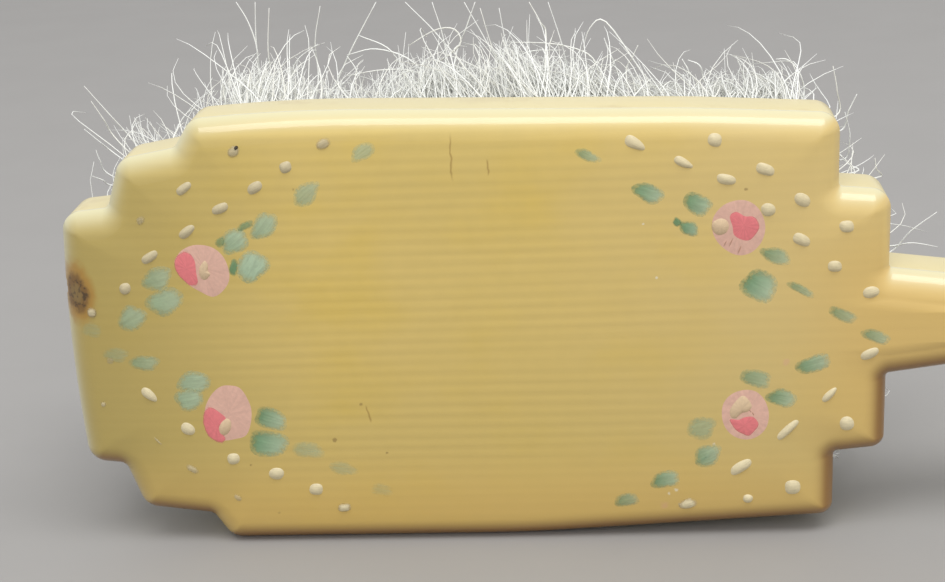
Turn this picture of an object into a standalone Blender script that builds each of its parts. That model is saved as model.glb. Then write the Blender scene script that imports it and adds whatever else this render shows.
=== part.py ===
"""Vanity hairbrush with a stepped head, standing on one long side with its painted back to -Y.

The body is two layers of ivory-grained plastic. The stock is drilled through and carries rows of
hair tufts, drawn in from behind and held by a wire that lies along each row. The back is glued
over the stock and hides the wires. Each piece is modelled with the brush lying flat, bristles
down, and an empty tips the whole brush up on its lower long side.
"""

import math
import random

import bmesh
import bpy

# All sizes are in metres.

# Head, seen from the back. The toe is at -X and the handle at +X.
HEAD_LENGTH = 0.0765
HEAD_WIDTH = 0.0421
TOE_BOW = 0.0005
TOE_LAND = 0.0040
TOE_LAND_RISE = 0.0004
FIRST_STEP_HEIGHT = 0.0046
FIRST_STEP_LEAN = 0.0015
LEDGE_RUN = 0.0066
LEDGE_RISE = 0.0009
SECOND_STEP_HEIGHT = 0.00265
SECOND_STEP_LEAN = 0.0017
STRAIGHT_SIDE = 0.0290
SIDE_TAPER = 0.0016
HEEL_STEP_HEIGHT = 0.0065
HEEL_LAND = 0.00465
HEEL_LAND_FALL = 0.00045

# On the upper side the toe's corner and first step lie further back than on the lower side.
CORNER_SET_BACK = 0.0004
STEP_SET_BACK = 0.0013

# The upper long side swells out soon after the toe's steps, and meets the heel at a wider shoulder.
UPPER_SWELL_RUN = 0.0090
UPPER_SWELL = 0.0005
UPPER_FALL_RUN = 0.0130
UPPER_FALL = 0.0005
UPPER_SHOULDER_RISE = 0.00025

# Handle
HANDLE_LENGTH = 0.0755
NECK_ROOT_WIDTH = 0.0103
NECK_FLARE = 0.0075
WAIST_WIDTH = 0.0083
GRIP_WIDTH = 0.0124
END_BOW = 0.0010

# Radii of the outline's corners and bends
CORNER_RADIUS = 0.0019
ROOT_RADIUS = 0.0009
SIDE_BEND_RADIUS = 0.1500
TOE_BEND_RADIUS = 0.1500
WAIST_RADIUS = 0.0300
HANDLE_END_RADIUS = 0.0048

# Thickness of the two layers and the rounding of their edges
BACK_THICKNESS = 0.0021
BACK_EDGE_ROUND = 0.0030
STOCK_THICKNESS = 0.0048
STOCK_EDGE_ROUND = 0.0007
GLUE_LINE = 0.0003
LEAST_WALL = 0.0001
# Two rounded corners leave this much less than the whole wall between them.
WALL_SHARE = 0.98

# Holes, tufts and wires
ROW_COUNT = 7
ROW_PITCH = 0.0054
TUFT_PITCH = 0.0045
EDGE_MARGIN = 0.0030
HOLE_RADIUS = 0.0013
CLEARANCE = 0.0003
FOLD_THICKNESS = 0.0006
WIRE_DIAMETER = 0.0005
BRISTLE_LENGTH = 0.0170
STRAND_SPREAD = 0.0011
END_LEAN = 0.0016
SIDE_LEAN = 0.0034
LENGTH_VARIATION = 0.12
LENGTH_SEED = 5
STRAND_KNEE = 0.45
STRAND_KNEE_SIZE = 0.75

# Facets
CORNER_SEGMENTS = 4
BEND_SEGMENTS = 3
HANDLE_END_SEGMENTS = 6
BACK_ROUND_SEGMENTS = 5
STOCK_ROUND_SEGMENTS = 2
HOLE_SIDES = 8
PEG_SIDES = 4
WIRE_BEVEL_RESOLUTION = 1
SHARP_ANGLE = math.radians(35)
# A face points down when its normal's Z is below this.
DOWNWARD = -0.5

# Colours, as linear RGBA
IVORY = (0.70, 0.55, 0.24, 1.0)
IVORY_PALE = (0.76, 0.66, 0.38, 1.0)
HAIR = (0.78, 0.77, 0.70, 1.0)
BRASS = (0.72, 0.50, 0.20, 1.0)

# Levels, measured down from the painted face of the lying brush
BACK_INNER = -BACK_THICKNESS
STOCK_TOP = BACK_INNER - GLUE_LINE
STOCK_BOTTOM = STOCK_TOP - STOCK_THICKNESS
TIP_LEVEL = STOCK_BOTTOM - BRISTLE_LENGTH

# A groove along each row holds the wire, and under it the fold of the tufts.
WIRE_TOP = STOCK_TOP - CLEARANCE
WIRE_AXIS = WIRE_TOP - WIRE_DIAMETER / 2
FOLD_TOP = WIRE_TOP - WIRE_DIAMETER - CLEARANCE
FOLD_BOTTOM = FOLD_TOP - FOLD_THICKNESS
GROOVE_BOTTOM = FOLD_BOTTOM - CLEARANCE

# A square tuft fits the faceted hole with its clearance all round.
HOLE_FLAT_RADIUS = HOLE_RADIUS * math.cos(math.pi / HOLE_SIDES)
TUFT_SIDE = math.sqrt(2) * (HOLE_FLAT_RADIUS - CLEARANCE)
GROOVE_WIDTH = TUFT_SIDE + 2 * CLEARANCE

TOE_X = -HEAD_LENGTH / 2
HEEL_X = HEAD_LENGTH / 2
HANDLE_END_X = HEEL_X + HANDLE_LENGTH

# Half widths and places of the outline's levels
MAIN_HALF = HEAD_WIDTH / 2
LEDGE_HALF = MAIN_HALF - SECOND_STEP_HEIGHT
TOE_HALF = LEDGE_HALF - LEDGE_RISE - FIRST_STEP_HEIGHT
SHOULDER_HALF = MAIN_HALF - SIDE_TAPER
HEEL_HALF = SHOULDER_HALF - HEEL_STEP_HEIGHT
FIRST_STEP_X = TOE_X + TOE_LAND
LEDGE_X = FIRST_STEP_X + FIRST_STEP_LEAN
SECOND_STEP_X = LEDGE_X + LEDGE_RUN
MAIN_X = SECOND_STEP_X + SECOND_STEP_LEAN
HEEL_STEP_X = HEEL_X - HEEL_LAND

# Places and half widths where each long side bends
UPPER_BENDS = (
    (MAIN_X + UPPER_SWELL_RUN, MAIN_HALF + UPPER_SWELL),
    (HEEL_STEP_X - UPPER_FALL_RUN, MAIN_HALF - UPPER_FALL),
)
LOWER_BENDS = ((MAIN_X + STRAIGHT_SIDE, MAIN_HALF),)


def half_corners(corner_back, step_back, bends, shoulder):
    """Corners of half the outline from toe to handle end, each with its radius and segments.

    The toe's corner and its first step are set back from the toe by these lengths. The long side
    runs through its bends to the shoulder, its half width at the heel.
    """
    return [
        (TOE_X + TOE_BOW + corner_back, TOE_HALF - TOE_LAND_RISE, CORNER_RADIUS, CORNER_SEGMENTS),
        (FIRST_STEP_X + step_back, TOE_HALF, ROOT_RADIUS, CORNER_SEGMENTS),
        (LEDGE_X + step_back, LEDGE_HALF - LEDGE_RISE, CORNER_RADIUS, CORNER_SEGMENTS),
        (SECOND_STEP_X, LEDGE_HALF, ROOT_RADIUS, CORNER_SEGMENTS),
        (MAIN_X, MAIN_HALF, CORNER_RADIUS, CORNER_SEGMENTS),
        *[(x, half, SIDE_BEND_RADIUS, BEND_SEGMENTS) for x, half in bends],
        (HEEL_STEP_X, shoulder, CORNER_RADIUS, CORNER_SEGMENTS),
        (HEEL_STEP_X, HEEL_HALF, ROOT_RADIUS, CORNER_SEGMENTS),
        (HEEL_X, HEEL_HALF - HEEL_LAND_FALL, CORNER_RADIUS, CORNER_SEGMENTS),
        (HEEL_X, NECK_ROOT_WIDTH / 2, ROOT_RADIUS, CORNER_SEGMENTS),
        (HEEL_X + NECK_FLARE, WAIST_WIDTH / 2, WAIST_RADIUS, BEND_SEGMENTS),
        (HANDLE_END_X - END_BOW, GRIP_WIDTH / 2, HANDLE_END_RADIUS, HANDLE_END_SEGMENTS),
    ]


def outline_corners():
    """The whole outline's corners, in order round the brush."""
    upper = half_corners(CORNER_SET_BACK, STEP_SET_BACK, UPPER_BENDS, SHOULDER_HALF + UPPER_SHOULDER_RISE)
    lower = half_corners(0.0, 0.0, LOWER_BENDS, SHOULDER_HALF)
    mirrored = [(x, -y, radius, segments) for x, y, radius, segments in reversed(lower)]
    toe = (TOE_X, 0.0, TOE_BEND_RADIUS, BEND_SEGMENTS)
    end = (HANDLE_END_X, 0.0, HANDLE_END_RADIUS, BEND_SEGMENTS)
    return [toe, *upper, end, *mirrored]


def unit(dx, dy):
    length = math.hypot(dx, dy)
    return dx / length, dy / length


def corner_turn(before, corner, after):
    """Directions into and out of a corner, and its turn: positive where the outline is concave."""
    ahead_in = unit(corner[0] - before[0], corner[1] - before[1])
    ahead_out = unit(after[0] - corner[0], after[1] - corner[1])
    cross = ahead_in[0] * ahead_out[1] - ahead_in[1] * ahead_out[0]
    dot = ahead_in[0] * ahead_out[0] + ahead_in[1] * ahead_out[1]
    return ahead_in, ahead_out, math.atan2(cross, dot)


def limited_radii(corners):
    """Each corner's radius, cut back where two neighbours would not fit on the wall between them."""
    count = len(corners)
    reach = []
    for i, corner in enumerate(corners):
        turn = corner_turn(corners[i - 1], corner, corners[(i + 1) % count])[2]
        reach.append(corner[2] * math.tan(abs(turn) / 2))
    radii = []
    for i, corner in enumerate(corners):
        fit = 1.0
        for j in (i - 1, (i + 1) % count):
            wall = math.hypot(corner[0] - corners[j][0], corner[1] - corners[j][1])
            fit = min(fit, WALL_SHARE * wall / (reach[i] + reach[j]))
        radii.append(corner[2] * fit)
    return radii


def outline_points(inset=0.0):
    """Points round the outline, moved inwards by the inset, the same number for any inset."""
    corners = outline_corners()
    count = len(corners)
    radii = limited_radii(corners)
    points = []
    for i, corner in enumerate(corners):
        ahead_in, ahead_out, turn = corner_turn(corners[i - 1], corner, corners[(i + 1) % count])
        # The outline runs clockwise, so the inside is on the right of its direction.
        right_in = (ahead_in[1], -ahead_in[0])
        right_out = (ahead_out[1], -ahead_out[0])
        middle = unit(right_in[0] + right_out[0], right_in[1] + right_out[1])
        mitre = inset / math.cos(turn / 2)
        tip = (corner[0] + middle[0] * mitre, corner[1] + middle[1] * mitre)
        concave = turn > 0
        radius = radii[i] + inset if concave else max(radii[i] - inset, LEAST_WALL)
        side = -1.0 if concave else 1.0
        to_centre = side * radius / math.cos(turn / 2)
        centre = (tip[0] + middle[0] * to_centre, tip[1] + middle[1] * to_centre)
        start = math.atan2(-side * right_in[1], -side * right_in[0])
        for step in range(corner[3] + 1):
            angle = start + turn * step / corner[3]
            points.append((centre[0] + radius * math.cos(angle), centre[1] + radius * math.sin(angle)))
    return points


def new_material(name, colour, roughness, metallic=0.0):
    material = bpy.data.materials.new(name)
    material.use_nodes = True
    shader = material.node_tree.nodes["Principled BSDF"]
    shader.inputs["Base Color"].default_value = colour
    shader.inputs["Roughness"].default_value = roughness
    shader.inputs["Metallic"].default_value = metallic
    return material


def add_object(name, mesh_data, collection, stand, material=None):
    obj = bpy.data.objects.new(name, mesh_data)
    collection.objects.link(obj)
    obj.parent = stand
    if material:
        mesh_data.materials.append(material)
    return obj


def finished_mesh(bm, name):
    bmesh.ops.recalc_face_normals(bm, faces=bm.faces)
    mesh = bpy.data.meshes.new(name)
    bm.to_mesh(mesh)
    bm.free()
    return mesh


def slab_mesh(name, sections):
    """A slab lofted through the outline's sections, each an inset and a level."""
    bm = bmesh.new()
    first_inset, first_level = sections[0]
    cap = bm.faces.new([bm.verts.new((x, y, first_level)) for x, y in outline_points(first_inset)])
    for inset, level in sections[1:]:
        cap = bmesh.ops.extrude_discrete_faces(bm, faces=[cap])["faces"][0]
        for vert, (x, y) in zip(cap.verts, outline_points(inset)):
            vert.co = (x, y, level)
    bmesh.ops.holes_fill(bm, edges=[edge for edge in bm.edges if edge.is_boundary])
    mesh = finished_mesh(bm, name)
    mesh.shade_smooth()
    mesh.set_sharp_from_angle(angle=SHARP_ANGLE)
    return mesh


def rounded_edge(radius, depth, segments, face_level, inward):
    """Sections of a round from the side wall to a face, where inward is +1 or -1 along Z.

    It is a quarter circle, or as much of one beside the face as the depth holds.
    """
    start = math.asin(max(1 - depth / radius, 0.0))
    sections = []
    for step in range(segments + 1):
        angle = start + (math.pi / 2 - start) * step / segments
        inset = radius * (1 - math.cos(angle))
        level = face_level + inward * radius * (1 - math.sin(angle))
        sections.append((inset, level))
    return sections


def make_back(collection, stand):
    """The painted back: a plate over head and handle with its upper edge fully rounded."""
    edge = rounded_edge(BACK_EDGE_ROUND, BACK_THICKNESS - LEAST_WALL, BACK_ROUND_SEGMENTS, 0.0, -1)
    wall_inset = edge[0][0]
    sections = [(wall_inset, BACK_INNER), *edge]
    material = new_material("ivory_plastic_back", IVORY, 0.30)
    return add_object("painted_back", slab_mesh("painted_back", sections), collection, stand, material)


def toe_limit(across):
    """Where the outline starts at this distance from the middle line, with the margin for a hole."""
    if across + EDGE_MARGIN <= TOE_HALF - TOE_LAND_RISE:
        return TOE_X + TOE_BOW + CORNER_SET_BACK
    if across + EDGE_MARGIN <= LEDGE_HALF - LEDGE_RISE:
        return LEDGE_X + STEP_SET_BACK
    return MAIN_X


def heel_limit(across):
    """Where the outline ends at this distance from the middle line, with the margin for a hole."""
    if across + EDGE_MARGIN <= HEEL_HALF - HEEL_LAND_FALL:
        return HEEL_X
    return HEEL_STEP_X


def tuft_rows():
    """Each row's distance from the middle line and the places of its tufts along it."""
    rows = []
    for row in range(ROW_COUNT):
        across = (row - (ROW_COUNT - 1) / 2) * ROW_PITCH
        first = toe_limit(abs(across)) + EDGE_MARGIN
        last = heel_limit(abs(across)) - EDGE_MARGIN
        count = int((last - first) / TUFT_PITCH) + 1
        start = (first + last - (count - 1) * TUFT_PITCH) / 2
        rows.append((across, [start + i * TUFT_PITCH for i in range(count)]))
    return rows


def hole_cutter(rows, collection, stand):
    """One cylinder through the stock for each tuft."""
    bm = bmesh.new()
    for across, places in rows:
        for along in places:
            made = bmesh.ops.create_cone(
                bm,
                cap_ends=True,
                segments=HOLE_SIDES,
                radius1=HOLE_RADIUS,
                radius2=HOLE_RADIUS,
                depth=2 * STOCK_THICKNESS,
            )
            middle = (STOCK_TOP + STOCK_BOTTOM) / 2
            bmesh.ops.translate(bm, verts=made["verts"], vec=(along, across, middle))
    return add_object("hole_cutter", finished_mesh(bm, "hole_cutter"), collection, stand)


def groove_cutter(rows, collection, stand):
    """One box along each row, for the wire and the folds of the tufts."""
    bm = bmesh.new()
    height = 2 * (STOCK_TOP - GROOVE_BOTTOM)
    for across, places in rows:
        length = places[-1] - places[0] + GROOVE_WIDTH
        made = bmesh.ops.create_cube(bm, size=1.0)
        bmesh.ops.scale(bm, verts=made["verts"], vec=(length, GROOVE_WIDTH, height))
        middle = (places[0] + places[-1]) / 2
        bmesh.ops.translate(bm, verts=made["verts"], vec=(middle, across, STOCK_TOP))
    return add_object("groove_cutter", finished_mesh(bm, "groove_cutter"), collection, stand)


def make_stock(rows, collection, cutters, stand):
    """The drilled stock, with a groove behind each row of holes."""
    edge = rounded_edge(STOCK_EDGE_ROUND, STOCK_EDGE_ROUND, STOCK_ROUND_SEGMENTS, STOCK_BOTTOM, 1)
    sections = [(0.0, STOCK_TOP), *edge]
    material = new_material("ivory_plastic_stock", IVORY_PALE, 0.35)
    stock = add_object("bristle_stock", slab_mesh("bristle_stock", sections), collection, stand, material)
    for cutter in (hole_cutter(rows, cutters, stand), groove_cutter(rows, cutters, stand)):
        cutter.hide_render = True
        cutter.display_type = "WIRE"
        cut = stock.modifiers.new(cutter.name, "BOOLEAN")
        cut.operation = "DIFFERENCE"
        cut.solver = "EXACT"
        cut.object = cutter
    return stock


def fold_strip(across, places):
    """The folded roots of one row: a strip with a square face over each hole, and those faces."""
    bm = bmesh.new()
    made = bmesh.ops.create_cube(bm, size=1.0)
    length = places[-1] - places[0] + TUFT_SIDE
    bmesh.ops.scale(bm, verts=made["verts"], vec=(length, TUFT_SIDE, FOLD_THICKNESS))
    middle = ((places[0] + places[-1]) / 2, across, (FOLD_TOP + FOLD_BOTTOM) / 2)
    bmesh.ops.translate(bm, verts=made["verts"], vec=middle)
    edges_along = [along + side * TUFT_SIDE / 2 for along in places for side in (-1, 1)]
    for cut in edges_along[1:-1]:
        whole = [*bm.verts, *bm.edges, *bm.faces]
        bmesh.ops.bisect_plane(bm, geom=whole, plane_co=(cut, 0, 0), plane_no=(1, 0, 0))
    bm.normal_update()
    seats = []
    for face in bm.faces:
        centre = face.calc_center_median()
        if face.normal.z < DOWNWARD and min(abs(centre.x - along) for along in places) < TUFT_SIDE / 4:
            seats.append(face)
    return bm, seats


def lean_at(along, across):
    """How far a tuft's tips lean outwards, growing evenly from the middle of the head."""
    return END_LEAN * along / (HEAD_LENGTH / 2), SIDE_LEAN * across / MAIN_HALF


def grow_strand(bm, face, axis, length):
    """One three-sided strand from its face: a tapering run to the knee, then a point."""
    centre = face.calc_center_median()
    away = unit(centre.x - axis[0], centre.y - axis[1])
    lean = lean_at(*axis)
    tip = (axis[0] + away[0] * STRAND_SPREAD + lean[0], axis[1] + away[1] * STRAND_SPREAD + lean[1])
    # The strand bends outwards, so at the knee it has gone less than its share of the way.
    share = STRAND_KNEE**2
    knee = (centre.x + (tip[0] - centre.x) * share, centre.y + (tip[1] - centre.y) * share)
    knee_face = bmesh.ops.extrude_discrete_faces(bm, faces=[face])["faces"][0]
    for vert in knee_face.verts:
        vert.co.x = knee[0] + (vert.co.x - centre.x) * STRAND_KNEE_SIZE
        vert.co.y = knee[1] + (vert.co.y - centre.y) * STRAND_KNEE_SIZE
        vert.co.z = STOCK_BOTTOM - length * STRAND_KNEE
    tip_face = bmesh.ops.extrude_discrete_faces(bm, faces=[knee_face])["faces"][0]
    bmesh.ops.pointmerge(bm, verts=tip_face.verts, merge_co=(tip[0], tip[1], STOCK_BOTTOM - length))


def make_tuft_row(number, across, places, lengths, material, collection, stand):
    """One row of tufts: the fold strip, a square tuft through each hole, and its loose strands."""
    bm, seats = fold_strip(across, places)
    pegs = bmesh.ops.extrude_discrete_faces(bm, faces=seats)["faces"]
    for peg in pegs:
        for vert in peg.verts:
            vert.co.z = STOCK_BOTTOM
    axes = {}
    for peg in pegs:
        centre = peg.calc_center_median()
        for face in bmesh.ops.poke(bm, faces=[peg])["faces"]:
            axes[face] = (centre.x, centre.y)
    for face, axis in sorted(axes.items(), key=lambda item: item[1]):
        grow_strand(bm, face, axis, next(lengths))
    name = f"tuft_row_{number}"
    return add_object(name, finished_mesh(bm, name), collection, stand, material)


def strand_lengths(rows):
    """A length for every strand, uneven as combed hair is, with the longest at full length."""
    count = PEG_SIDES * sum(len(places) for _, places in rows)
    source = random.Random(LENGTH_SEED)
    shares = [1.0 - LENGTH_VARIATION * source.random() for _ in range(count)]
    longest = max(shares)
    return iter([BRISTLE_LENGTH * share / longest for share in shares])


def make_wire(number, across, places, material, collection, stand):
    """The drawing wire that lies in its groove over the folds of one row."""
    curve = bpy.data.curves.new(f"draw_wire_{number}", "CURVE")
    curve.dimensions = "3D"
    curve.bevel_depth = WIRE_DIAMETER / 2
    curve.bevel_resolution = WIRE_BEVEL_RESOLUTION
    curve.use_fill_caps = True
    spline = curve.splines.new("POLY")
    spline.points.add(1)
    for point, along in zip(spline.points, (places[0], places[-1])):
        point.co = (along, across, WIRE_AXIS, 1.0)
    return add_object(f"draw_wire_{number}", curve, collection, stand, material)


def make_stand(collection):
    """The empty that tips the lying brush up, with the origin under the middle of its box."""
    stand = bpy.data.objects.new("stand", None)
    collection.objects.link(stand)
    stand.rotation_euler = (math.radians(90), 0.0, 0.0)
    lengthwise = [x for x, _ in outline_points()]
    stand.location = (-(min(lengthwise) + max(lengthwise)) / 2, TIP_LEVEL / 2, MAIN_HALF)
    return stand


def main():
    for obj in list(bpy.data.objects):
        bpy.data.objects.remove(obj, do_unlink=True)
    parts = bpy.data.collections.new("vanity_hairbrush")
    cutters = bpy.data.collections.new("cutters")
    for collection in (parts, cutters):
        bpy.context.scene.collection.children.link(collection)
    stand = make_stand(parts)
    rows = tuft_rows()
    make_back(parts, stand)
    make_stock(rows, parts, cutters, stand)
    hair = new_material("white_hair", HAIR, 0.55)
    brass = new_material("brass_wire", BRASS, 0.35, 1.0)
    lengths = strand_lengths(rows)
    for number, (across, places) in enumerate(rows, start=1):
        make_tuft_row(number, across, places, lengths, hair, parts, stand)
        make_wire(number, across, places, brass, parts, stand)


main()
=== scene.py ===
"""Looks of the vanity hairbrush: grained ivory body, dabbed rose sprays, white hair and brass wires."""

import math
import random

import bmesh
import bpy
import numpy as np
from mathutils import Matrix, Vector
from mathutils.bvhtree import BVHTree


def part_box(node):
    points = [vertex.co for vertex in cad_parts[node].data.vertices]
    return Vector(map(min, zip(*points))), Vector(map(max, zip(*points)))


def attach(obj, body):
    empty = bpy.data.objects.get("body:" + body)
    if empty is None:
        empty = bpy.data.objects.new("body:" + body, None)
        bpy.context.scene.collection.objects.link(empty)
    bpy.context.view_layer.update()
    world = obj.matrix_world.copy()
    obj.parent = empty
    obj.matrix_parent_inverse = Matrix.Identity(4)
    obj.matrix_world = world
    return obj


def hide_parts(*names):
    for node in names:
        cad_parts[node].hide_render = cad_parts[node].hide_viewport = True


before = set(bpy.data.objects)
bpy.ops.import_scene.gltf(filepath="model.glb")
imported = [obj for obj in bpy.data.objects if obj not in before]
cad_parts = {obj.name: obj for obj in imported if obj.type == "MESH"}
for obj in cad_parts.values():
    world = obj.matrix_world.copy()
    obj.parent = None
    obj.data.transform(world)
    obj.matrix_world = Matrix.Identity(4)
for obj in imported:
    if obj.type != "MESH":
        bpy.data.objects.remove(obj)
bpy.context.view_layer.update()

# All sizes are in metres, in the row frame: X along the brush, -Y out of the painted face, +Z up.

# Outline of head and handle, as in the solids but for the heel's sharper roots and lower corners
HEAD_LENGTH = 0.0765
HEAD_WIDTH = 0.0421
TOE_BOW = 0.0005
TOE_LAND = 0.0040
TOE_LAND_RISE = 0.0004
FIRST_STEP_HEIGHT = 0.0046
FIRST_STEP_LEAN = 0.0015
LEDGE_RUN = 0.0066
LEDGE_RISE = 0.0009
SECOND_STEP_HEIGHT = 0.00265
SECOND_STEP_LEAN = 0.0017
STRAIGHT_SIDE = 0.0290
SIDE_TAPER = 0.0016
HEEL_STEP_HEIGHT = 0.0065
HEEL_LAND = 0.00465
HEEL_LAND_FALL = 0.00045
CORNER_SET_BACK = 0.0004
STEP_SET_BACK = 0.0013
UPPER_SWELL_RUN = 0.0090
UPPER_SWELL = 0.0005
UPPER_FALL_RUN = 0.0130
UPPER_FALL = 0.0005
UPPER_SHOULDER_RISE = 0.00025
HANDLE_LENGTH = 0.0755
NECK_ROOT_WIDTH = 0.0103
NECK_FLARE = 0.0075
WAIST_WIDTH = 0.0083
GRIP_WIDTH = 0.0124
END_BOW = 0.0010
CORNER_RADIUS = 0.0019
ROOT_RADIUS = 0.0009
HEEL_ROOT_RADIUS = 0.0004
LOWER_HEEL_RADIUS = 0.0013
BEND_RADIUS = 0.1500
WAIST_RADIUS = 0.0300
HANDLE_END_RADIUS = 0.0048
LEAST_RADIUS = 0.0001
INNER_CORNER_SHARE = 0.2
WALL_SHARE = 0.98

# Edges and seam
BACK_ROUND = 0.0030
BACK_ROUND_DEPTH = 0.0020
STOCK_ROUND = 0.0007
SEAM_WIDTH = 0.00002
SEAM_ROUND = 0.00004
FLAT_RIM = 0.0001
# The face is crowned: from the round it rises a little further, ever more gently.
CROWN_SLOPE = math.radians(6)
CROWN_RUN = 0.0040
CROWN_DROP = CROWN_RUN * math.tan(CROWN_SLOPE) / 2
CROWN_SEGMENTS = 8

# Holes and tufts, as in the solids
ROW_COUNT = 7
ROW_PITCH = 0.0054
TUFT_PITCH = 0.0045
EDGE_MARGIN = 0.0030
HOLE_RADIUS = 0.0013
GROOVE_WIDTH = 0.0019
GROOVE_DEPTH = 0.0020

# Facets
CORNER_SEGMENTS = 12
BEND_SEGMENTS = 8
BACK_ROUND_SEGMENTS = 14
SMALL_ROUND_SEGMENTS = 5
HOLE_SIDES = 20
LARGE_FACE = 0.0004
BACK_SMOOTH_DEGREES = 25
STOCK_SMOOTH_DEGREES = 40

# Camera that took the photograph: its turn to the painted face, and the face's centre seen from it
IMAGE_WIDTH = 945
IMAGE_HEIGHT = 582
FOCAL_PIXELS = 1755.2
SENSOR_WIDTH = 36.0
CLIP_NEAR = 0.005
CLIP_FAR = 20.0
CAMERA_TILT = 0.3417
CAMERA_YAW = -0.0813
CAMERA_ROLL = 0.0522
FACE_FROM_CAMERA = Vector((-0.00026, -0.00434, -0.16183))

# Places of the layers, from the solids
FACE_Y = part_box("painted_back")[0].y
STOCK_INNER_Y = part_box("bristle_stock")[0].y
STOCK_FACE_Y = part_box("bristle_stock")[1].y
TIP_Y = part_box("tuft_row_4")[1].y
MIDDLE_Z = HEAD_WIDTH / 2

# Half widths and places of the outline's levels, along X from the head's centre
TOE_X = -HEAD_LENGTH / 2
HEEL_X = HEAD_LENGTH / 2
HANDLE_END_X = HEEL_X + HANDLE_LENGTH
MAIN_HALF = HEAD_WIDTH / 2
LEDGE_HALF = MAIN_HALF - SECOND_STEP_HEIGHT
TOE_HALF = LEDGE_HALF - LEDGE_RISE - FIRST_STEP_HEIGHT
SHOULDER_HALF = MAIN_HALF - SIDE_TAPER
HEEL_HALF = SHOULDER_HALF - HEEL_STEP_HEIGHT
FIRST_STEP_X = TOE_X + TOE_LAND
LEDGE_X = FIRST_STEP_X + FIRST_STEP_LEAN
SECOND_STEP_X = LEDGE_X + LEDGE_RUN
MAIN_X = SECOND_STEP_X + SECOND_STEP_LEAN
HEEL_STEP_X = HEEL_X - HEEL_LAND

# Places and half widths where each long side bends
UPPER_BENDS = (
    (MAIN_X + UPPER_SWELL_RUN, MAIN_HALF + UPPER_SWELL),
    (HEEL_STEP_X - UPPER_FALL_RUN, MAIN_HALF - UPPER_FALL),
)
LOWER_BENDS = ((MAIN_X + STRAIGHT_SIDE, MAIN_HALF),)


# Outline


def half_corners(corner_back, step_back, bends, shoulder, heel_radius):
    """Corners of half the outline from toe to handle end, each with its radius and segments.

    The toe's corner and its first step are set back from the toe by these lengths. The long side
    runs through its bends to the shoulder, its half width at the heel, whose corners have their own radius.
    """
    return [
        (TOE_X + TOE_BOW + corner_back, TOE_HALF - TOE_LAND_RISE, CORNER_RADIUS, CORNER_SEGMENTS),
        (FIRST_STEP_X + step_back, TOE_HALF, ROOT_RADIUS, CORNER_SEGMENTS),
        (LEDGE_X + step_back, LEDGE_HALF - LEDGE_RISE, CORNER_RADIUS, CORNER_SEGMENTS),
        (SECOND_STEP_X, LEDGE_HALF, ROOT_RADIUS, CORNER_SEGMENTS),
        (MAIN_X, MAIN_HALF, CORNER_RADIUS, CORNER_SEGMENTS),
        *[(x, half, BEND_RADIUS, BEND_SEGMENTS) for x, half in bends],
        (HEEL_STEP_X, shoulder, heel_radius, CORNER_SEGMENTS),
        (HEEL_STEP_X, HEEL_HALF, HEEL_ROOT_RADIUS, CORNER_SEGMENTS),
        (HEEL_X, HEEL_HALF - HEEL_LAND_FALL, heel_radius, CORNER_SEGMENTS),
        (HEEL_X, NECK_ROOT_WIDTH / 2, HEEL_ROOT_RADIUS, CORNER_SEGMENTS),
        (HEEL_X + NECK_FLARE, WAIST_WIDTH / 2, WAIST_RADIUS, BEND_SEGMENTS),
        (HANDLE_END_X - END_BOW, GRIP_WIDTH / 2, HANDLE_END_RADIUS, CORNER_SEGMENTS),
    ]


def outline_corners():
    """The whole outline's corners, in order round the brush."""
    upper_shoulder = SHOULDER_HALF + UPPER_SHOULDER_RISE
    upper = half_corners(CORNER_SET_BACK, STEP_SET_BACK, UPPER_BENDS, upper_shoulder, CORNER_RADIUS)
    lower = half_corners(0.0, 0.0, LOWER_BENDS, SHOULDER_HALF, LOWER_HEEL_RADIUS)
    mirrored = [(x, -y, radius, segments) for x, y, radius, segments in reversed(lower)]
    toe = (TOE_X, 0.0, BEND_RADIUS, BEND_SEGMENTS)
    end = (HANDLE_END_X, 0.0, HANDLE_END_RADIUS, BEND_SEGMENTS)
    return [toe, *upper, end, *mirrored]


def corner_turn(before, corner, after):
    """Directions into and out of a corner, and its turn: positive where the outline is concave."""
    ahead_in = Vector((corner[0] - before[0], corner[1] - before[1])).normalized()
    ahead_out = Vector((after[0] - corner[0], after[1] - corner[1])).normalized()
    return ahead_in, ahead_out, math.atan2(ahead_in.cross(ahead_out), ahead_in.dot(ahead_out))


def limited_radii(corners):
    """Each corner's radius, cut back where two neighbours would not fit on the wall between them."""
    count = len(corners)
    reach = []
    for i, corner in enumerate(corners):
        turn = corner_turn(corners[i - 1], corner, corners[(i + 1) % count])[2]
        reach.append(corner[2] * math.tan(abs(turn) / 2))
    radii = []
    for i, corner in enumerate(corners):
        fit = 1.0
        for j in (i - 1, (i + 1) % count):
            wall = math.hypot(corner[0] - corners[j][0], corner[1] - corners[j][1])
            fit = min(fit, WALL_SHARE * wall / (reach[i] + reach[j]))
        radii.append(corner[2] * fit)
    return radii


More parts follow.
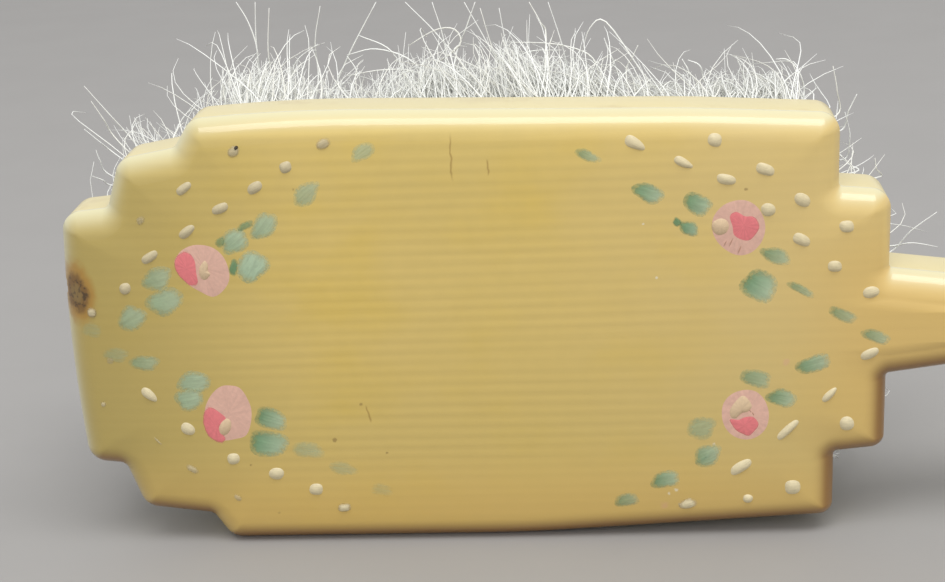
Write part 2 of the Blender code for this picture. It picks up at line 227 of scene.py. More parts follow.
def outline_points(inset=0.0):
    """Points round the outline, moved inwards by the inset, the same number for any inset."""
    corners = outline_corners()
    count = len(corners)
    radii = limited_radii(corners)
    points = []
    for i, corner in enumerate(corners):
        ahead_in, ahead_out, turn = corner_turn(corners[i - 1], corner, corners[(i + 1) % count])
        # The outline runs clockwise, so the inside is on the right of its direction.
        right_in = Vector((ahead_in.y, -ahead_in.x))
        right_out = Vector((ahead_out.y, -ahead_out.x))
        middle = (right_in + right_out).normalized()
        concave = turn > 0
        inner = max(radii[i] - inset, LEAST_RADIUS, INNER_CORNER_SHARE * inset)
        radius = radii[i] + inset if concave else inner
        side = -1.0 if concave else 1.0
        tip = Vector(corner[:2]) + middle * (inset / math.cos(turn / 2))
        centre = tip + middle * (side * radius / math.cos(turn / 2))
        start = math.atan2(-side * right_in.y, -side * right_in.x)
        for step in range(corner[3] + 1):
            angle = start + turn * step / corner[3]
            points.append(centre + radius * Vector((math.cos(angle), math.sin(angle))))
    return points


LENGTHWISE = [point.x for point in outline_points()]
HEAD_CENTRE_X = -(min(LENGTHWISE) + max(LENGTHWISE)) / 2
HEAD_CENTRE = Vector((HEAD_CENTRE_X, FACE_Y, MIDDLE_Z))


# Camera


def camera_turn():
    """The camera's axes as columns in the row frame, where its own Z points back at the eye."""
    to_camera = (
        Matrix.Rotation(CAMERA_ROLL, 3, "Z")
        @ Matrix.Rotation(CAMERA_TILT, 3, "X")
        @ Matrix.Rotation(CAMERA_YAW, 3, "Y")
    )
    upright = Matrix.Rotation(math.radians(90), 3, "X")
    return upright @ to_camera.transposed()


CAMERA_TURN = camera_turn()
CAMERA_PLACE = HEAD_CENTRE - CAMERA_TURN @ FACE_FROM_CAMERA


def along_pixel(u, v, y):
    """The point where the sight line through a pixel of the photograph meets the plane at this Y."""
    sight = Vector(((u - IMAGE_WIDTH / 2) / FOCAL_PIXELS, (IMAGE_HEIGHT / 2 - v) / FOCAL_PIXELS, -1.0))
    direction = CAMERA_TURN @ sight
    return CAMERA_PLACE + direction * ((y - CAMERA_PLACE.y) / direction.y)


def add_camera():
    data = bpy.data.cameras.new("photo_camera")
    data.sensor_width = SENSOR_WIDTH
    data.lens = SENSOR_WIDTH * FOCAL_PIXELS / IMAGE_WIDTH
    data.clip_start = CLIP_NEAR
    data.clip_end = CLIP_FAR
    camera = bpy.data.objects.new("photo_camera", data)
    bpy.context.scene.collection.objects.link(camera)
    camera.matrix_world = Matrix.Translation(CAMERA_PLACE) @ CAMERA_TURN.to_4x4()
    bpy.context.scene.camera = camera


# Shader nodes


def math_method(operation, swapped=False):
    """A method that adds a Math node, for one of Python's operators or by name."""

    def add_node(term, other=0.0):
        values = (other, term) if swapped else (term, other)
        return term.finish.node("ShaderNodeMath", {"operation": operation}, dict(enumerate(values)))

    return add_node


class Term:
    """One output of a material's nodes. Python's operators on it add Math nodes."""

    def __init__(self, finish, socket):
        self.finish = finish
        self.socket = socket

    __add__ = math_method("ADD")
    __radd__ = math_method("ADD", swapped=True)
    __sub__ = math_method("SUBTRACT")
    __rsub__ = math_method("SUBTRACT", swapped=True)
    __mul__ = math_method("MULTIPLY")
    __rmul__ = math_method("MULTIPLY", swapped=True)
    __truediv__ = math_method("DIVIDE")
    __pow__ = math_method("POWER")
    __abs__ = math_method("ABSOLUTE")
    sine = math_method("SINE")
    least = math_method("MINIMUM")
    most = math_method("MAXIMUM")


class Finish:
    """A material with one Principled shader, whose other nodes are added one at a time."""

    def __init__(self, name, **constants):
        self.material = bpy.data.materials.new(name)
        self.material.use_nodes = True
        self.tree = self.material.node_tree
        self.shader = self.tree.nodes["Principled BSDF"]
        for socket, value in constants.items():
            self.shader.inputs[socket.replace("_", " ").title()].default_value = value

    def node(self, kind, settings, inputs, output=0):
        """Adds a node, sets it up, then fills its sockets with values or links."""
        made = self.tree.nodes.new(kind)
        for name, value in settings.items():
            setattr(made, name, value)
        for key, value in inputs.items():
            self.feed(made.inputs[key], value)
        return Term(self, made.outputs[output])

    def feed(self, socket, value):
        if isinstance(value, Term):
            self.tree.links.new(value.socket, socket)
        else:
            socket.default_value = value

    def end(self, socket, value):
        """Links a value to the Principled shader."""
        self.feed(self.shader.inputs[socket], value)

    def place(self):
        return self.node("ShaderNodeTexCoord", {}, {}, "Object")

    def attribute(self, name, output="Fac"):
        return self.node("ShaderNodeAttribute", {"attribute_name": name}, {}, output)

    def split(self, vector):
        return [self.node("ShaderNodeSeparateXYZ", {}, {0: vector}, axis) for axis in "XYZ"]

    def stretch(self, vector, scale):
        return self.node("ShaderNodeVectorMath", {"operation": "MULTIPLY"}, {0: vector, 1: scale})

    def away(self, vector, centre):
        return self.node("ShaderNodeVectorMath", {"operation": "DISTANCE"}, {0: vector, 1: centre}, "Value")

    def noise(self, vector, scale, detail=2.0, roughness=0.5):
        inputs = {"Vector": vector, "Scale": scale, "Detail": detail, "Roughness": roughness}
        return self.node("ShaderNodeTexNoise", {}, inputs)

    def ease(self, value, low, high):
        """From 0 at low to 1 at high, with soft ends. Low may be the larger of the two."""
        inputs = {0: value, 1: low, 2: high, 3: 0.0, 4: 1.0}
        return self.node("ShaderNodeMapRange", {"interpolation_type": "SMOOTHSTEP"}, inputs)

    def mix(self, factor, first, second):
        return self.node("ShaderNodeMix", {"data_type": "RGBA"}, {0: factor, 6: first, 7: second}, 2)

    def lighten(self, colour, light):
        return self.node("ShaderNodeVectorMath", {"operation": "SCALE"}, {0: colour, "Scale": light})

    def bump(self, height, strength, distance):
        inputs = {"Strength": strength, "Distance": distance, "Height": height}
        self.end("Normal", self.node("ShaderNodeBump", {}, inputs))


def linear(red, green, blue):
    """A colour read from a picture, from 0 to 255, as the linear RGBA that shaders take."""
    shares = [value / 255 for value in (red, green, blue)]
    return (*[s / 12.92 if s <= 0.04045 else ((s + 0.055) / 1.055) ** 2.4 for s in shares], 1.0)


# Ivory plastic

GRAIN_PITCH = 0.00108
GRAIN_DEPTH = 0.044
FACE_TAN = linear(213, 186, 109)
FACE_YELLOW = linear(212, 182, 84)
FACE_OLIVE = linear(203, 179, 101)
FACE_PALE = linear(215, 189, 128)
TOE_OLIVE = linear(168, 149, 82)
# Warm band of the lower edge and the heel: partly aged toning, partly painted shade
WARM_TONE_AND_SHADE = linear(214, 176, 98)
# Painted highlight and sheen of the lit edges, also the stock's paler tone
PALE_SHEEN = linear(214, 209, 172)
# Painted shade of the back's edge where it faces down or to the heel, and soil on the stock
SHADE_AND_SOIL_BROWN = linear(138, 94, 32)
SEAM_BROWN = linear(120, 92, 48)
STAIN_RUST = linear(166, 120, 42)
STAIN_BROWN = linear(106, 74, 34)
STAIN_OLIVE = linear(136, 114, 68)
STAIN_DARK = linear(34, 27, 22)
STAIN_CENTRE = along_pixel(75, 295, FACE_Y)
STAIN_REACH = 0.0031
STAIN_NARROWING = 1.65
# Where each layer of the stain starts and is full, as shares of its reach, with its strength and colour
STAIN_LAYERS = (
    (1.20, 0.72, 0.75, STAIN_RUST),
    (0.76, 0.46, 0.80, STAIN_BROWN),
    (0.42, 0.16, 0.65, STAIN_OLIVE),
)
CRACK_BROWN = linear(140, 104, 44)
CRACKS = (((449, 132), (452, 184)), ((487, 158), (489, 177)), ((366, 404), (371, 424)))
CRACK_WIDTH = 0.00014
SPECKS = (
    (293, 190, 2.0),
    (335, 440, 3.0),
    (361, 404, 2.5),
    (279, 513, 2.5),
    (387, 453, 1.8),
    (251, 465, 1.8),
    (799, 133, 3.5),
    (746, 189, 2.2),
    (505, 126, 1.6),
)
PALE_SPECKS = (
    (643, 224, 1.8),
    (657, 278, 1.8),
    (669, 494, 2.6),
    (676, 490, 2.4),
    (615, 513, 2.0),
    (714, 444, 2.4),
)
PINK_SPECKS = ((786, 362, 5.0), (665, 506, 6.0))
SPECK_WHITE = linear(226, 218, 194)
SPECK_PINK = linear(214, 160, 140)
# Kinds of speck, with the strength and colour of each
SPECK_KINDS = ((SPECKS, 0.55, SEAM_BROWN), (PALE_SPECKS, 0.75, SPECK_WHITE), (PINK_SPECKS, 0.35, SPECK_PINK))
# Where the back's tones and its painted shade start and are full: from the head's centre along the brush, or
# up from the floor
PALE_START = 0.004
PALE_FULL = 0.030
TOE_START = -0.012
HEEL_START = 0.026
LOWER_SHADE_START = 0.032
WARM_EDGE = (0.012, 0.002)
WARM_HEEL = (0.036, 0.024)
BROWN_HEEL = (0.032, 0.016)
# Weight of the sideways facing of an edge beside its facing up or down, in its painted highlight and shade
SIDE_WEIGHT = 0.6


def pixel_size(u, v):
    """The width of one pixel of the photograph on the painted face."""
    return (along_pixel(u + 1, v, FACE_Y) - along_pixel(u, v, FACE_Y)).length


def grain(finish, place):
    """Fine straight laminations along the brush, a little wavy and uneven in strength."""
    z = finish.split(place)[2]
    sway = finish.noise(finish.stretch(place, (14.0, 14.0, 60.0)), 1.0, 2.0)
    wave = ((z / GRAIN_PITCH + sway * 0.9) * math.tau).sine()
    strength = finish.noise(finish.stretch(place, (40.0, 40.0, 260.0)), 1.0, 2.0)
    threads = finish.noise(finish.stretch(place, (60.0, 60.0, 3200.0)), 1.0, 2.0)
    return wave * (0.45 + finish.ease(strength, 0.30, 0.70) * 0.55) + (threads - 0.5) * 1.4


def ivory_colour(finish, place):
    """Broad drifts of tan, yellow and olive, with the grain laid over them."""
    drift = finish.noise(place, 22.0, 1.0)
    cloud = finish.noise(finish.stretch(place, (1.0, 1.0, 1.5)), 90.0, 4.0)
    mottle = finish.noise(place, 700.0, 3.0)
    tone = finish.mix(finish.ease(drift, 0.35, 0.75), FACE_TAN, FACE_OLIVE)
    tone = finish.mix(finish.ease(cloud, 0.40, 0.85) * 0.75, tone, FACE_YELLOW)
    light = 1.0 + grain(finish, place) * GRAIN_DEPTH + (mottle - 0.5) * 0.07
    return finish.lighten(tone, light)


def crack_mask(finish, place):
    """Short fine cracks that run across the grain."""
    x, _, z = finish.split(place)
    jitter = (finish.noise(place, 900.0, 2.0) - 0.5) * 0.0005
    mask = 0.0
    for top, bottom in CRACKS:
        upper = along_pixel(*top, FACE_Y)
        lower = along_pixel(*bottom, FACE_Y)
        slope = (upper.x - lower.x) / (upper.z - lower.z)
        middle = (upper + lower) / 2
        half = (upper.z - lower.z) / 2
        off_line = abs(x + jitter - middle.x - (z - middle.z) * slope)
        along = abs(z - middle.z)
        line = finish.ease(off_line, CRACK_WIDTH, 0.0) * finish.ease(along, half, half * 0.5)
        mask = line.most(mask)
    return mask


def speck_mask(finish, place, specks):
    """Small specks of the face, each across, down and half as wide as in the photograph."""
    mask = 0.0
    ragged = (finish.noise(place, 2600.0, 2.0) - 0.5) * 0.0004
    for u, v, radius in specks:
        centre = along_pixel(u, v, FACE_Y)
        reach = radius * pixel_size(u, v)
        mask = finish.ease(finish.away(place, centre) + ragged, reach, reach * 0.3).most(mask)
    return mask


def back_colour(finish, place):
    """Ivory that is pale to the heel and deeper at the toe, with painted shade below, and round its edge a
    painted highlight above and painted shade and some toning below.
    """
    x, y, z = finish.split(place)
    right, _, up = finish.split(finish.node("ShaderNodeNewGeometry", {}, {}, "Normal"))
    colour = ivory_colour(finish, place)
    pale = finish.ease(x, HEAD_CENTRE_X + PALE_START, HEAD_CENTRE_X + PALE_FULL)
    colour = finish.mix(pale * 0.6, colour, FACE_PALE)
    # The toe is a deeper tone.
    toe = finish.ease(x, HEAD_CENTRE_X + TOE_START, HEAD_CENTRE_X + TOE_X)
    colour = finish.mix(toe * 0.85, colour, TOE_OLIVE)
    # Painted shade: the lower part of the face is darker towards the bottom.
    colour = finish.mix(finish.ease(z, LOWER_SHADE_START, 0.0) * 0.35, colour, TOE_OLIVE)
    # The lower edge and the heel are warmer: partly aged toning, partly painted shade.
    heel = finish.ease(x, HEAD_CENTRE_X + HEEL_START, HEAD_CENTRE_X + HEEL_X)
    warm = finish.ease(z, *WARM_EDGE).most(heel * finish.ease(z, *WARM_HEEL))
    colour = finish.mix(warm * 0.55, colour, WARM_TONE_AND_SHADE)
    # Painted highlight: the rounded edge is pale where it faces up or to the toe.
    edge = finish.ease(y, FACE_Y, FACE_Y + BACK_ROUND_DEPTH)
    colour = finish.mix(edge * finish.ease(up - right * SIDE_WEIGHT, 0.0, 0.6) * 0.9, colour, PALE_SHEEN)
    # Painted shade: the rounded edge is brown where it faces down or to the heel.
    shaded_edge = finish.ease(y, FACE_Y, FACE_Y + BACK_ROUND_DEPTH * 0.5)
    heelward = right * SIDE_WEIGHT * finish.ease(z, *BROWN_HEEL)
    return finish.mix(shaded_edge * finish.ease(heelward - up, 0.02, 0.50) * 0.92, colour, SHADE_AND_SOIL_BROWN)


def stain_distance(finish, place):
    """The distance from the middle of the burnt stain as a ragged share of its reach."""
    x, _, z = finish.split(place)
    ragged = finish.noise(place, 900.0, 4.0) - 0.5
    square = ((x - STAIN_CENTRE.x) * STAIN_NARROWING) ** 2.0 + (z - STAIN_CENTRE.z) ** 2.0
    return (square + 1e-12) ** 0.5 / STAIN_REACH + ragged * 0.5


def ivory_back_finish():
    finish = Finish("ivory_back", coat_roughness=0.06, coat_weight=0.55)
    place = finish.place()
    colour = back_colour(finish, place)
    from_stain = stain_distance(finish, place)
    for first, full, strength, tint in STAIN_LAYERS:
        colour = finish.mix(finish.ease(from_stain, first, full) * strength, colour, tint)
    pits = finish.ease(finish.noise(place, 2400.0, 3.0), 0.52, 0.66)
    colour = finish.mix(finish.ease(from_stain, 0.72, 0.45) * pits * 0.65, colour, STAIN_DARK)
    colour = finish.mix(crack_mask(finish, place) * 0.55, colour, CRACK_BROWN)
    for specks, strength, tint in SPECK_KINDS:
        colour = finish.mix(speck_mask(finish, place, specks) * strength, colour, tint)
    finish.end("Base Color", colour)
    wear = finish.noise(place, 300.0, 4.0)
    finish.end("Roughness", 0.27 + wear * 0.14 + finish.ease(from_stain, 0.9, 0.3) * 0.35)
    scratches = finish.noise(finish.stretch(place, (90.0, 90.0, 2400.0)), 1.0, 3.0)
    finish.bump(scratches * 0.4 + wear * 0.6 + grain(finish, place) * 0.10, 0.08, 0.0002)
    return finish.material


def ivory_stock_finish():
    finish = Finish("ivory_stock", coat_roughness=0.14, coat_weight=0.25)
    place = finish.place()
    # The stock is paler than the back: partly a paler ivory, partly painted sheen of its lit top wall.
    colour = finish.mix(0.6, ivory_colour(finish, place), PALE_SHEEN)
    soil = finish.noise(place, 240.0, 5.0)
    colour = finish.mix(finish.ease(soil, 0.55, 0.75) * 0.18, colour, SHADE_AND_SOIL_BROWN)
    finish.end("Base Color", colour)
    wear = finish.noise(place, 320.0, 4.0)
    finish.end("Roughness", 0.30 + wear * 0.16)
    finish.bump(wear, 0.08, 0.0002)
    return finish.material


# Bodies


def take(piece_name):
    """Names the object that was just added and hands it over."""
    piece = bpy.context.object
    piece.name = piece_name
    piece.data.name = piece_name
    return piece


def only(piece):
    """Selects this object and no other."""
    bpy.ops.object.select_all(action="DESELECT")
    piece.select_set(True)
    bpy.context.view_layer.objects.active = piece


def dress(piece, material, slot, *nodes):
    """Gives a finished piece its material, hangs it under the root body and hides the solids it stands for.
    """
    piece.data.materials.clear()
    piece.data.materials.append(material)
    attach(piece, "root")
    if nodes:
        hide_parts(*nodes)
    return piece


def lay_ring(piece, place_layer, section):
    """Moves the selected ring of an edited slab onto the outline at this inset, depth and shrinking."""
    inset, y, shrink_x, shrink_z = section
    points = outline_points(inset)
    shape = bmesh.from_edit_mesh(piece.data)
    layer = shape.verts.layers.int[place_layer]
    for vert in shape.verts:
        if vert.select:
            point = points[vert[layer]]
            vert.co = (HEAD_CENTRE_X + point.x * shrink_x, y, MIDDLE_Z + point.y * shrink_z)
    bmesh.update_edit_mesh(piece.data)


def slab(name, sections):
    """A slab lofted through sections of the outline: a flat disc is extruded from ring to ring."""
    count = len(outline_points())
    bpy.ops.object.select_all(action="DESELECT")
    bpy.ops.mesh.primitive_circle_add(vertices=count, radius=MAIN_HALF, fill_type="NGON")
    piece = take(name)
    order = piece.data.attributes.new("order", "INT", "POINT")
    order.data.foreach_set("value", range(count))
    bpy.ops.object.mode_set(mode="EDIT")
    bpy.ops.mesh.select_all(action="SELECT")
    lay_ring(piece, "order", sections[0])
    for section in sections[1:]:
        bpy.ops.mesh.extrude_region()
        lay_ring(piece, "order", section)
    bpy.ops.mesh.select_all(action="SELECT")
    bpy.ops.mesh.normals_make_consistent(inside=False)
    bpy.ops.object.mode_set(mode="OBJECT")
    piece.data.attributes.remove(piece.data.attributes["order"])
    return piece


def edge_round(radius, depth, segments, y, inward, slope=0.0):
    """Sections of a round from a side wall to the face at Y, where inward is +1 or -1 along Y.

    It is a quarter circle, or as much of one beside the face as the depth holds, and it may end
    at a slope to the face.
    """
    start = math.asin(1 - depth / radius)
    end = math.pi / 2 - slope
    wall = radius * (1 - math.cos(start))
    sections = []
    for step in range(segments + 1):
        angle = start + (end - start) * step / segments
        inset = radius * (1 - math.cos(angle)) - wall
        sections.append((inset, y + inward * radius * (1 - math.sin(angle)), 1.0, 1.0))
    return sections


def crown(inset):
    """Sections from the end of the round to the top of the face, drawn in towards the head's centre."""
    sections = []
    for step in range(1, CROWN_SEGMENTS + 1):
        share = step / CROWN_SEGMENTS
        shrink_x = 1.0 - share * CROWN_RUN / (HEEL_X - inset)
        shrink_z = 1.0 - share * CROWN_RUN / (MAIN_HALF - inset)
        sections.append((inset, FACE_Y + CROWN_DROP * (1.0 - share) ** 2, shrink_x, shrink_z))
    return sections


def cut(piece, cutter):
    """Cuts the cutter out of the piece and removes it."""
    only(piece)
    modifier = piece.modifiers.new("cut", "BOOLEAN")
    modifier.operation = "DIFFERENCE"
    modifier.solver = "EXACT"
    modifier.object = cutter
    bpy.ops.object.modifier_apply(modifier="cut")
    bpy.data.objects.remove(cutter)


def smooth(piece, degrees):
    """Smooth shading up to an angle, with the large flat faces kept flat."""
    only(piece)
    bpy.ops.object.shade_smooth_by_angle(angle=math.radians(degrees))
    for face in piece.data.polygons:
        if face.area > LARGE_FACE:
            face.use_smooth = False


CHIP_SEED = 11
# Swells of a chip's lump: how many over it and how deep
CHIP_SWELLS = ((2.2, 0.16), (5.0, 0.10), (9.0, 0.05))
# Middle and half sizes of what is gone from the toe: a burnt hollow and a nibble beside it
CHIPS = (
    (along_pixel(76, 296, FACE_Y - 0.0001), Vector((0.0011, 0.00042, 0.0015))),
    (along_pixel(62, 288, FACE_Y + 0.0012), Vector((0.00045, 0.0012, 0.0011))),
)


def chip_cutter(centre, size):
    """An uneven lump of the shape that is gone from the toe."""
    bpy.ops.object.select_all(action="DESELECT")
    bpy.ops.mesh.primitive_ico_sphere_add(subdivisions=4, radius=1.0)
    lump = take("chip_cutter")
    rng = random.Random(CHIP_SEED)
    first, second = [rng.uniform(0.0, math.tau) for _ in range(2)]
    for vert in lump.data.vertices:
        way = vert.co.normalized()
        wobble = 1.0
        for swells, depth in CHIP_SWELLS:
            wobble += depth * math.sin(swells * way.x + first) * math.sin(swells * (way.y + way.z) + second)
        vert.co = centre + way * size * wobble
    return lump


def make_back():
    """The painted back: a plate over head and handle, with a rounded edge, a crowned face and two chips."""
    # The round would reach a little above its end if it went on to the level of the face.
    level = FACE_Y + CROWN_DROP - BACK_ROUND * (1 - math.cos(CROWN_SLOPE))
    depth = BACK_ROUND_DEPTH - (level - FACE_Y)
    edge = edge_round(BACK_ROUND, depth, BACK_ROUND_SEGMENTS, level, 1, CROWN_SLOPE)
    seam = edge_round(SEAM_ROUND, SEAM_ROUND, SMALL_ROUND_SEGMENTS, STOCK_INNER_Y - SEAM_WIDTH, -1)
    sections = [*reversed(seam), *edge, *crown(edge[-1][0])]
    piece = slab("ivory_back", sections)
    for centre, size in CHIPS:
        cut(piece, chip_cutter(centre, size))
    smooth(piece, BACK_SMOOTH_DEGREES)
    return dress(piece, ivory_back_finish(), "ivory_back", "painted_back")


def toe_limit(across):
    """Where the outline starts at this distance from the middle line, with the margin for a hole."""
    if across + EDGE_MARGIN <= TOE_HALF - TOE_LAND_RISE:
        return TOE_X + TOE_BOW + CORNER_SET_BACK
    if across + EDGE_MARGIN <= LEDGE_HALF - LEDGE_RISE:
        return LEDGE_X + STEP_SET_BACK
    return MAIN_X


def heel_limit(across):
    """Where the outline ends at this distance from the middle line, with the margin for a hole."""
    if across + EDGE_MARGIN <= HEEL_HALF - HEEL_LAND_FALL:
        return HEEL_X
    return HEEL_STEP_X


def tuft_rows():
    """Each row's distance from the middle line and the places of its tufts along it."""
    rows = []
    for row in range(ROW_COUNT):
        across = (row - (ROW_COUNT - 1) / 2) * ROW_PITCH
        first = toe_limit(abs(across)) + EDGE_MARGIN
        last = heel_limit(abs(across)) - EDGE_MARGIN
        count = int((last - first) / TUFT_PITCH) + 1
        start = (first + last - (count - 1) * TUFT_PITCH) / 2
        rows.append((across, [start + i * TUFT_PITCH for i in range(count)]))
    return rows


def hole_cutter(rows):
    """One drill through the stock for each tuft, copied from the first."""
    depth = STOCK_FACE_Y - STOCK_INNER_Y
    bpy.ops.object.select_all(action="DESELECT")
    bpy.ops.mesh.primitive_cylinder_add(
        vertices=HOLE_SIDES,
        radius=HOLE_RADIUS,
        depth=2 * depth,
        rotation=(math.radians(90), 0.0, 0.0),
    )
    bpy.ops.object.transform_apply(location=False, rotation=True, scale=False)
    drill = take("hole_cutter")
    shape = bmesh.new()
    for across, places in rows:
        for along in places:
            before = len(shape.verts)
            shape.from_mesh(drill.data)
            shape.verts.ensure_lookup_table()
            centre = (HEAD_CENTRE_X + along, (STOCK_FACE_Y + STOCK_INNER_Y) / 2, MIDDLE_Z + across)
            bmesh.ops.translate(shape, verts=shape.verts[before:], vec=centre)
    shape.to_mesh(drill.data)
    shape.free()
    return drill


def groove_cutter(rows):
    """One bar along each row, on the hidden side, for the wire."""
    bpy.ops.object.select_all(action="DESELECT")
    bars = []
    for across, places in rows:
        length = places[-1] - places[0] + GROOVE_WIDTH
        centre = (HEAD_CENTRE_X + (places[0] + places[-1]) / 2, STOCK_INNER_Y, MIDDLE_Z + across)
        sides = (length, 2 * GROOVE_DEPTH, GROOVE_WIDTH)
        bpy.ops.mesh.primitive_cube_add(size=1.0, location=centre, scale=sides)
        bars.append(take("groove_cutter"))
    return join(bars)


def join(pieces):
    """Joins objects into the first of them, with their places in the mesh."""
    bpy.ops.object.select_all(action="DESELECT")
    for piece in pieces:
        piece.select_set(True)
    bpy.context.view_layer.objects.active = pieces[0]
    if len(pieces) > 1:
        bpy.ops.object.join()
    bpy.ops.object.transform_apply(location=True, rotation=True, scale=True)
    return bpy.context.object


def make_stock(rows):
    """The drilled stock that carries the tufts."""
    sections = [*reversed(edge_round(SEAM_ROUND, SEAM_ROUND, SMALL_ROUND_SEGMENTS, STOCK_INNER_Y, 1))]
    sections += edge_round(STOCK_ROUND, STOCK_ROUND, SMALL_ROUND_SEGMENTS, STOCK_FACE_Y, -1)
    sections.append((STOCK_ROUND + FLAT_RIM, STOCK_FACE_Y, 1.0, 1.0))
    piece = slab("drilled_stock", sections)
    cut(piece, hole_cutter(rows))
    cut(piece, groove_cutter(rows))
    smooth(piece, STOCK_SMOOTH_DEGREES)
    return dress(piece, ivory_stock_finish(), "ivory_stock", "bristle_stock")


# Hair

HAIR_RADIUS = 0.000080
STRAND_THICKNESS = 1.5
# Hairs of a tuft and the share of strays among them, row by row from the lowest
HAIRS_PER_TUFT = (130, 110, 100, 100, 150, 215, 260)
STRAY_SHARES = (0.10, 0.10, 0.10, 0.10, 0.14, 0.24, 0.26)
LOCKS_PER_TUFT = 8
HAIR_POINTS = 10
STRAND_POINTS = 25
HAIR_SIDES = 3
ROOT_DEPTH = 0.0010
ROOT_SPREAD = 0.00105
LOCK_SPREAD = 0.0021
HAIR_SCATTER = 0.0010
# Hairs lie about more along the brush than across it.
LENGTHWISE_SPREAD = 1.5
LOWER_LEAN = 0.0024
END_LEAN = 0.0030
STRAY_REACH = 0.0046
# At the toe, hair of the lower rows stays behind the back.
TOE_HAIR_MARGIN = 0.0012
HAIR_CURL = (0.0012, 0.0042)
STRAY_CURL = (0.0022, 0.0052)
# Spans that locks and hairs are drawn from, as shares of a tuft's lean and of the full length
LOCK_LEANS = (0.0, 1.7)
STRAY_LEANS = (-0.3, 0.6)
LOCK_LENGTHS = (0.84, 1.0)
HAIR_LENGTHS = (0.80, 1.0)
WAVE_TURNS = (2.0, 6.0)
WAVE_SHARE = 0.22
LEAST_RISE_SHARE = 0.45
TIP_TAPER = 0.65
FLOOR_CLEARANCE = 0.0003
FLOOR_PRESS = 0.0026
HAIR_TOP = 0.0525
HAIR_WHITE = linear(250, 251, 247)
HAIR_CREAM = linear(243, 241, 230)
HAIR_SEED = 7
# How the hair of the top row lies, by place along the head: sweep, rise and share of hairs
COMBING = (
    (-0.0340, -0.0024, 0.0056, 1.00),
    (-0.0280, -0.0024, 0.0060, 1.00),
    (-0.0235, -0.0014, 0.0046, 1.00),
    (-0.0217, -0.0012, 0.0034, 1.00),
    (-0.0172, -0.0002, 0.0038, 1.00),
    (-0.0127, -0.0003, 0.0008, 0.65),
    (-0.0083, -0.0010, 0.0014, 0.80),
    (-0.0037, -0.0024, 0.0036, 1.00),
    (0.0007, -0.0026, 0.0040, 1.00),
    (0.0053, -0.0018, 0.0038, 1.00),
    (0.0097, -0.0020, 0.0034, 1.00),
    (0.0143, -0.0024, 0.0022, 1.00),
    (0.0187, -0.0028, 0.0009, 0.90),
    (0.0233, -0.0026, 0.0012, 0.90),
    (0.0277, -0.0012, 0.0017, 0.90),
    (0.0345, 0.0014, 0.0012, 0.80),
)

# Single hairs that stand out in the photograph, by the row they grow from: their way in its pixels
STRANDS = {
    2: (
        ((842, 450), (857, 460), (868, 467)),
    ),
    5: (
        ((884, 254), (912, 230), (937, 212)),
        ((884, 246), (912, 243), (938, 247)),
    ),
    6: (
        ((135, 143), (110, 115), (84, 86)),
        ((119, 142), (104, 120), (91, 101)),
        ((118, 156), (100, 142), (84, 129)),
        ((114, 186), (103, 180), (92, 176)),
        ((112, 176), (100, 160), (96, 150)),
        ((856, 172), (848, 164), (840, 154)),
        ((876, 178), (876, 168), (875, 158)),
    ),
    7: (
        ((258, 92), (257, 50), (248, 22), (236, 2)),
        ((261, 92), (256, 40), (255, 2)),
        ((272, 92), (268, 50), (269, 8)),
        ((286, 96), (296, 62), (318, 44)),
        ((318, 84), (315, 42), (320, 6)),
        ((332, 92), (352, 48), (376, 2)),
        ((361, 92), (356, 70), (347, 56)),
        ((410, 94), (392, 52), (358, 35)),
        ((430, 88), (410, 60), (376, 49), (347, 55)),
        ((438, 92), (416, 72), (382, 70), (346, 76)),
        ((470, 82), (440, 38), (405, 2)),
        ((448, 90), (444, 42), (432, 2)),
        ((434, 72), (450, 54), (461, 42), (454, 29), (435, 30), (408, 46)),
        ((455, 60), (466, 28), (475, 2)),
        ((512, 94), (488, 45), (464, 2)),
        ((516, 94), (494, 52), (480, 8)),
        ((524, 94), (508, 52), (499, 8)),
        ((546, 40), (540, 22), (529, 2)),
        ((573, 92), (562, 45), (548, 2)),
        ((500, 72), (515, 59), (532, 51), (562, 50)),
        ((594, 95), (598, 72), (588, 54), (555, 44), (505, 42)),
        ((656, 96), (640, 70), (606, 22), (590, 28), (582, 52)),
        ((620, 80), (612, 58), (604, 38)),
        ((626, 74), (632, 58), (638, 45)),
        ((690, 82), (688, 70), (682, 59)),
        ((706, 84), (700, 66), (688, 60)),
        ((745, 92), (742, 72), (736, 56)),
        ((803, 98), (800, 74), (788, 60), (776, 59)),
        ((836, 116), (837, 90), (833, 66)),
        ((838, 132), (849, 110), (857, 94)),
        ((840, 160), (850, 138), (845, 112)),
    ),
}
STRAND_Y = 0.0085
STRAND_RISE = 0.0040


def combed(along):
    """The sweep, the rise and the share of hairs of the top row at this place along the head."""
    places = [line[0] for line in COMBING]
    return [float(np.interp(along, places, [line[column] for line in COMBING])) for column in (1, 2, 3)]


def disc_point(rng, radius, stretch=1.0):
    """A random point in a disc, drawn out along the brush."""
    angle = rng.uniform(0.0, math.tau)
    reach = radius * math.sqrt(rng.random())
    return Vector((reach * stretch * math.cos(angle), reach * math.sin(angle)))


def above_floor(height):
    """The height of a hair that the floor presses up when it would reach below it."""
    if height > FLOOR_PRESS:
        return min(height, HAIR_TOP)
    span = FLOOR_PRESS - FLOOR_CLEARANCE
    return FLOOR_CLEARANCE + span * math.exp((height - FLOOR_PRESS) / span)


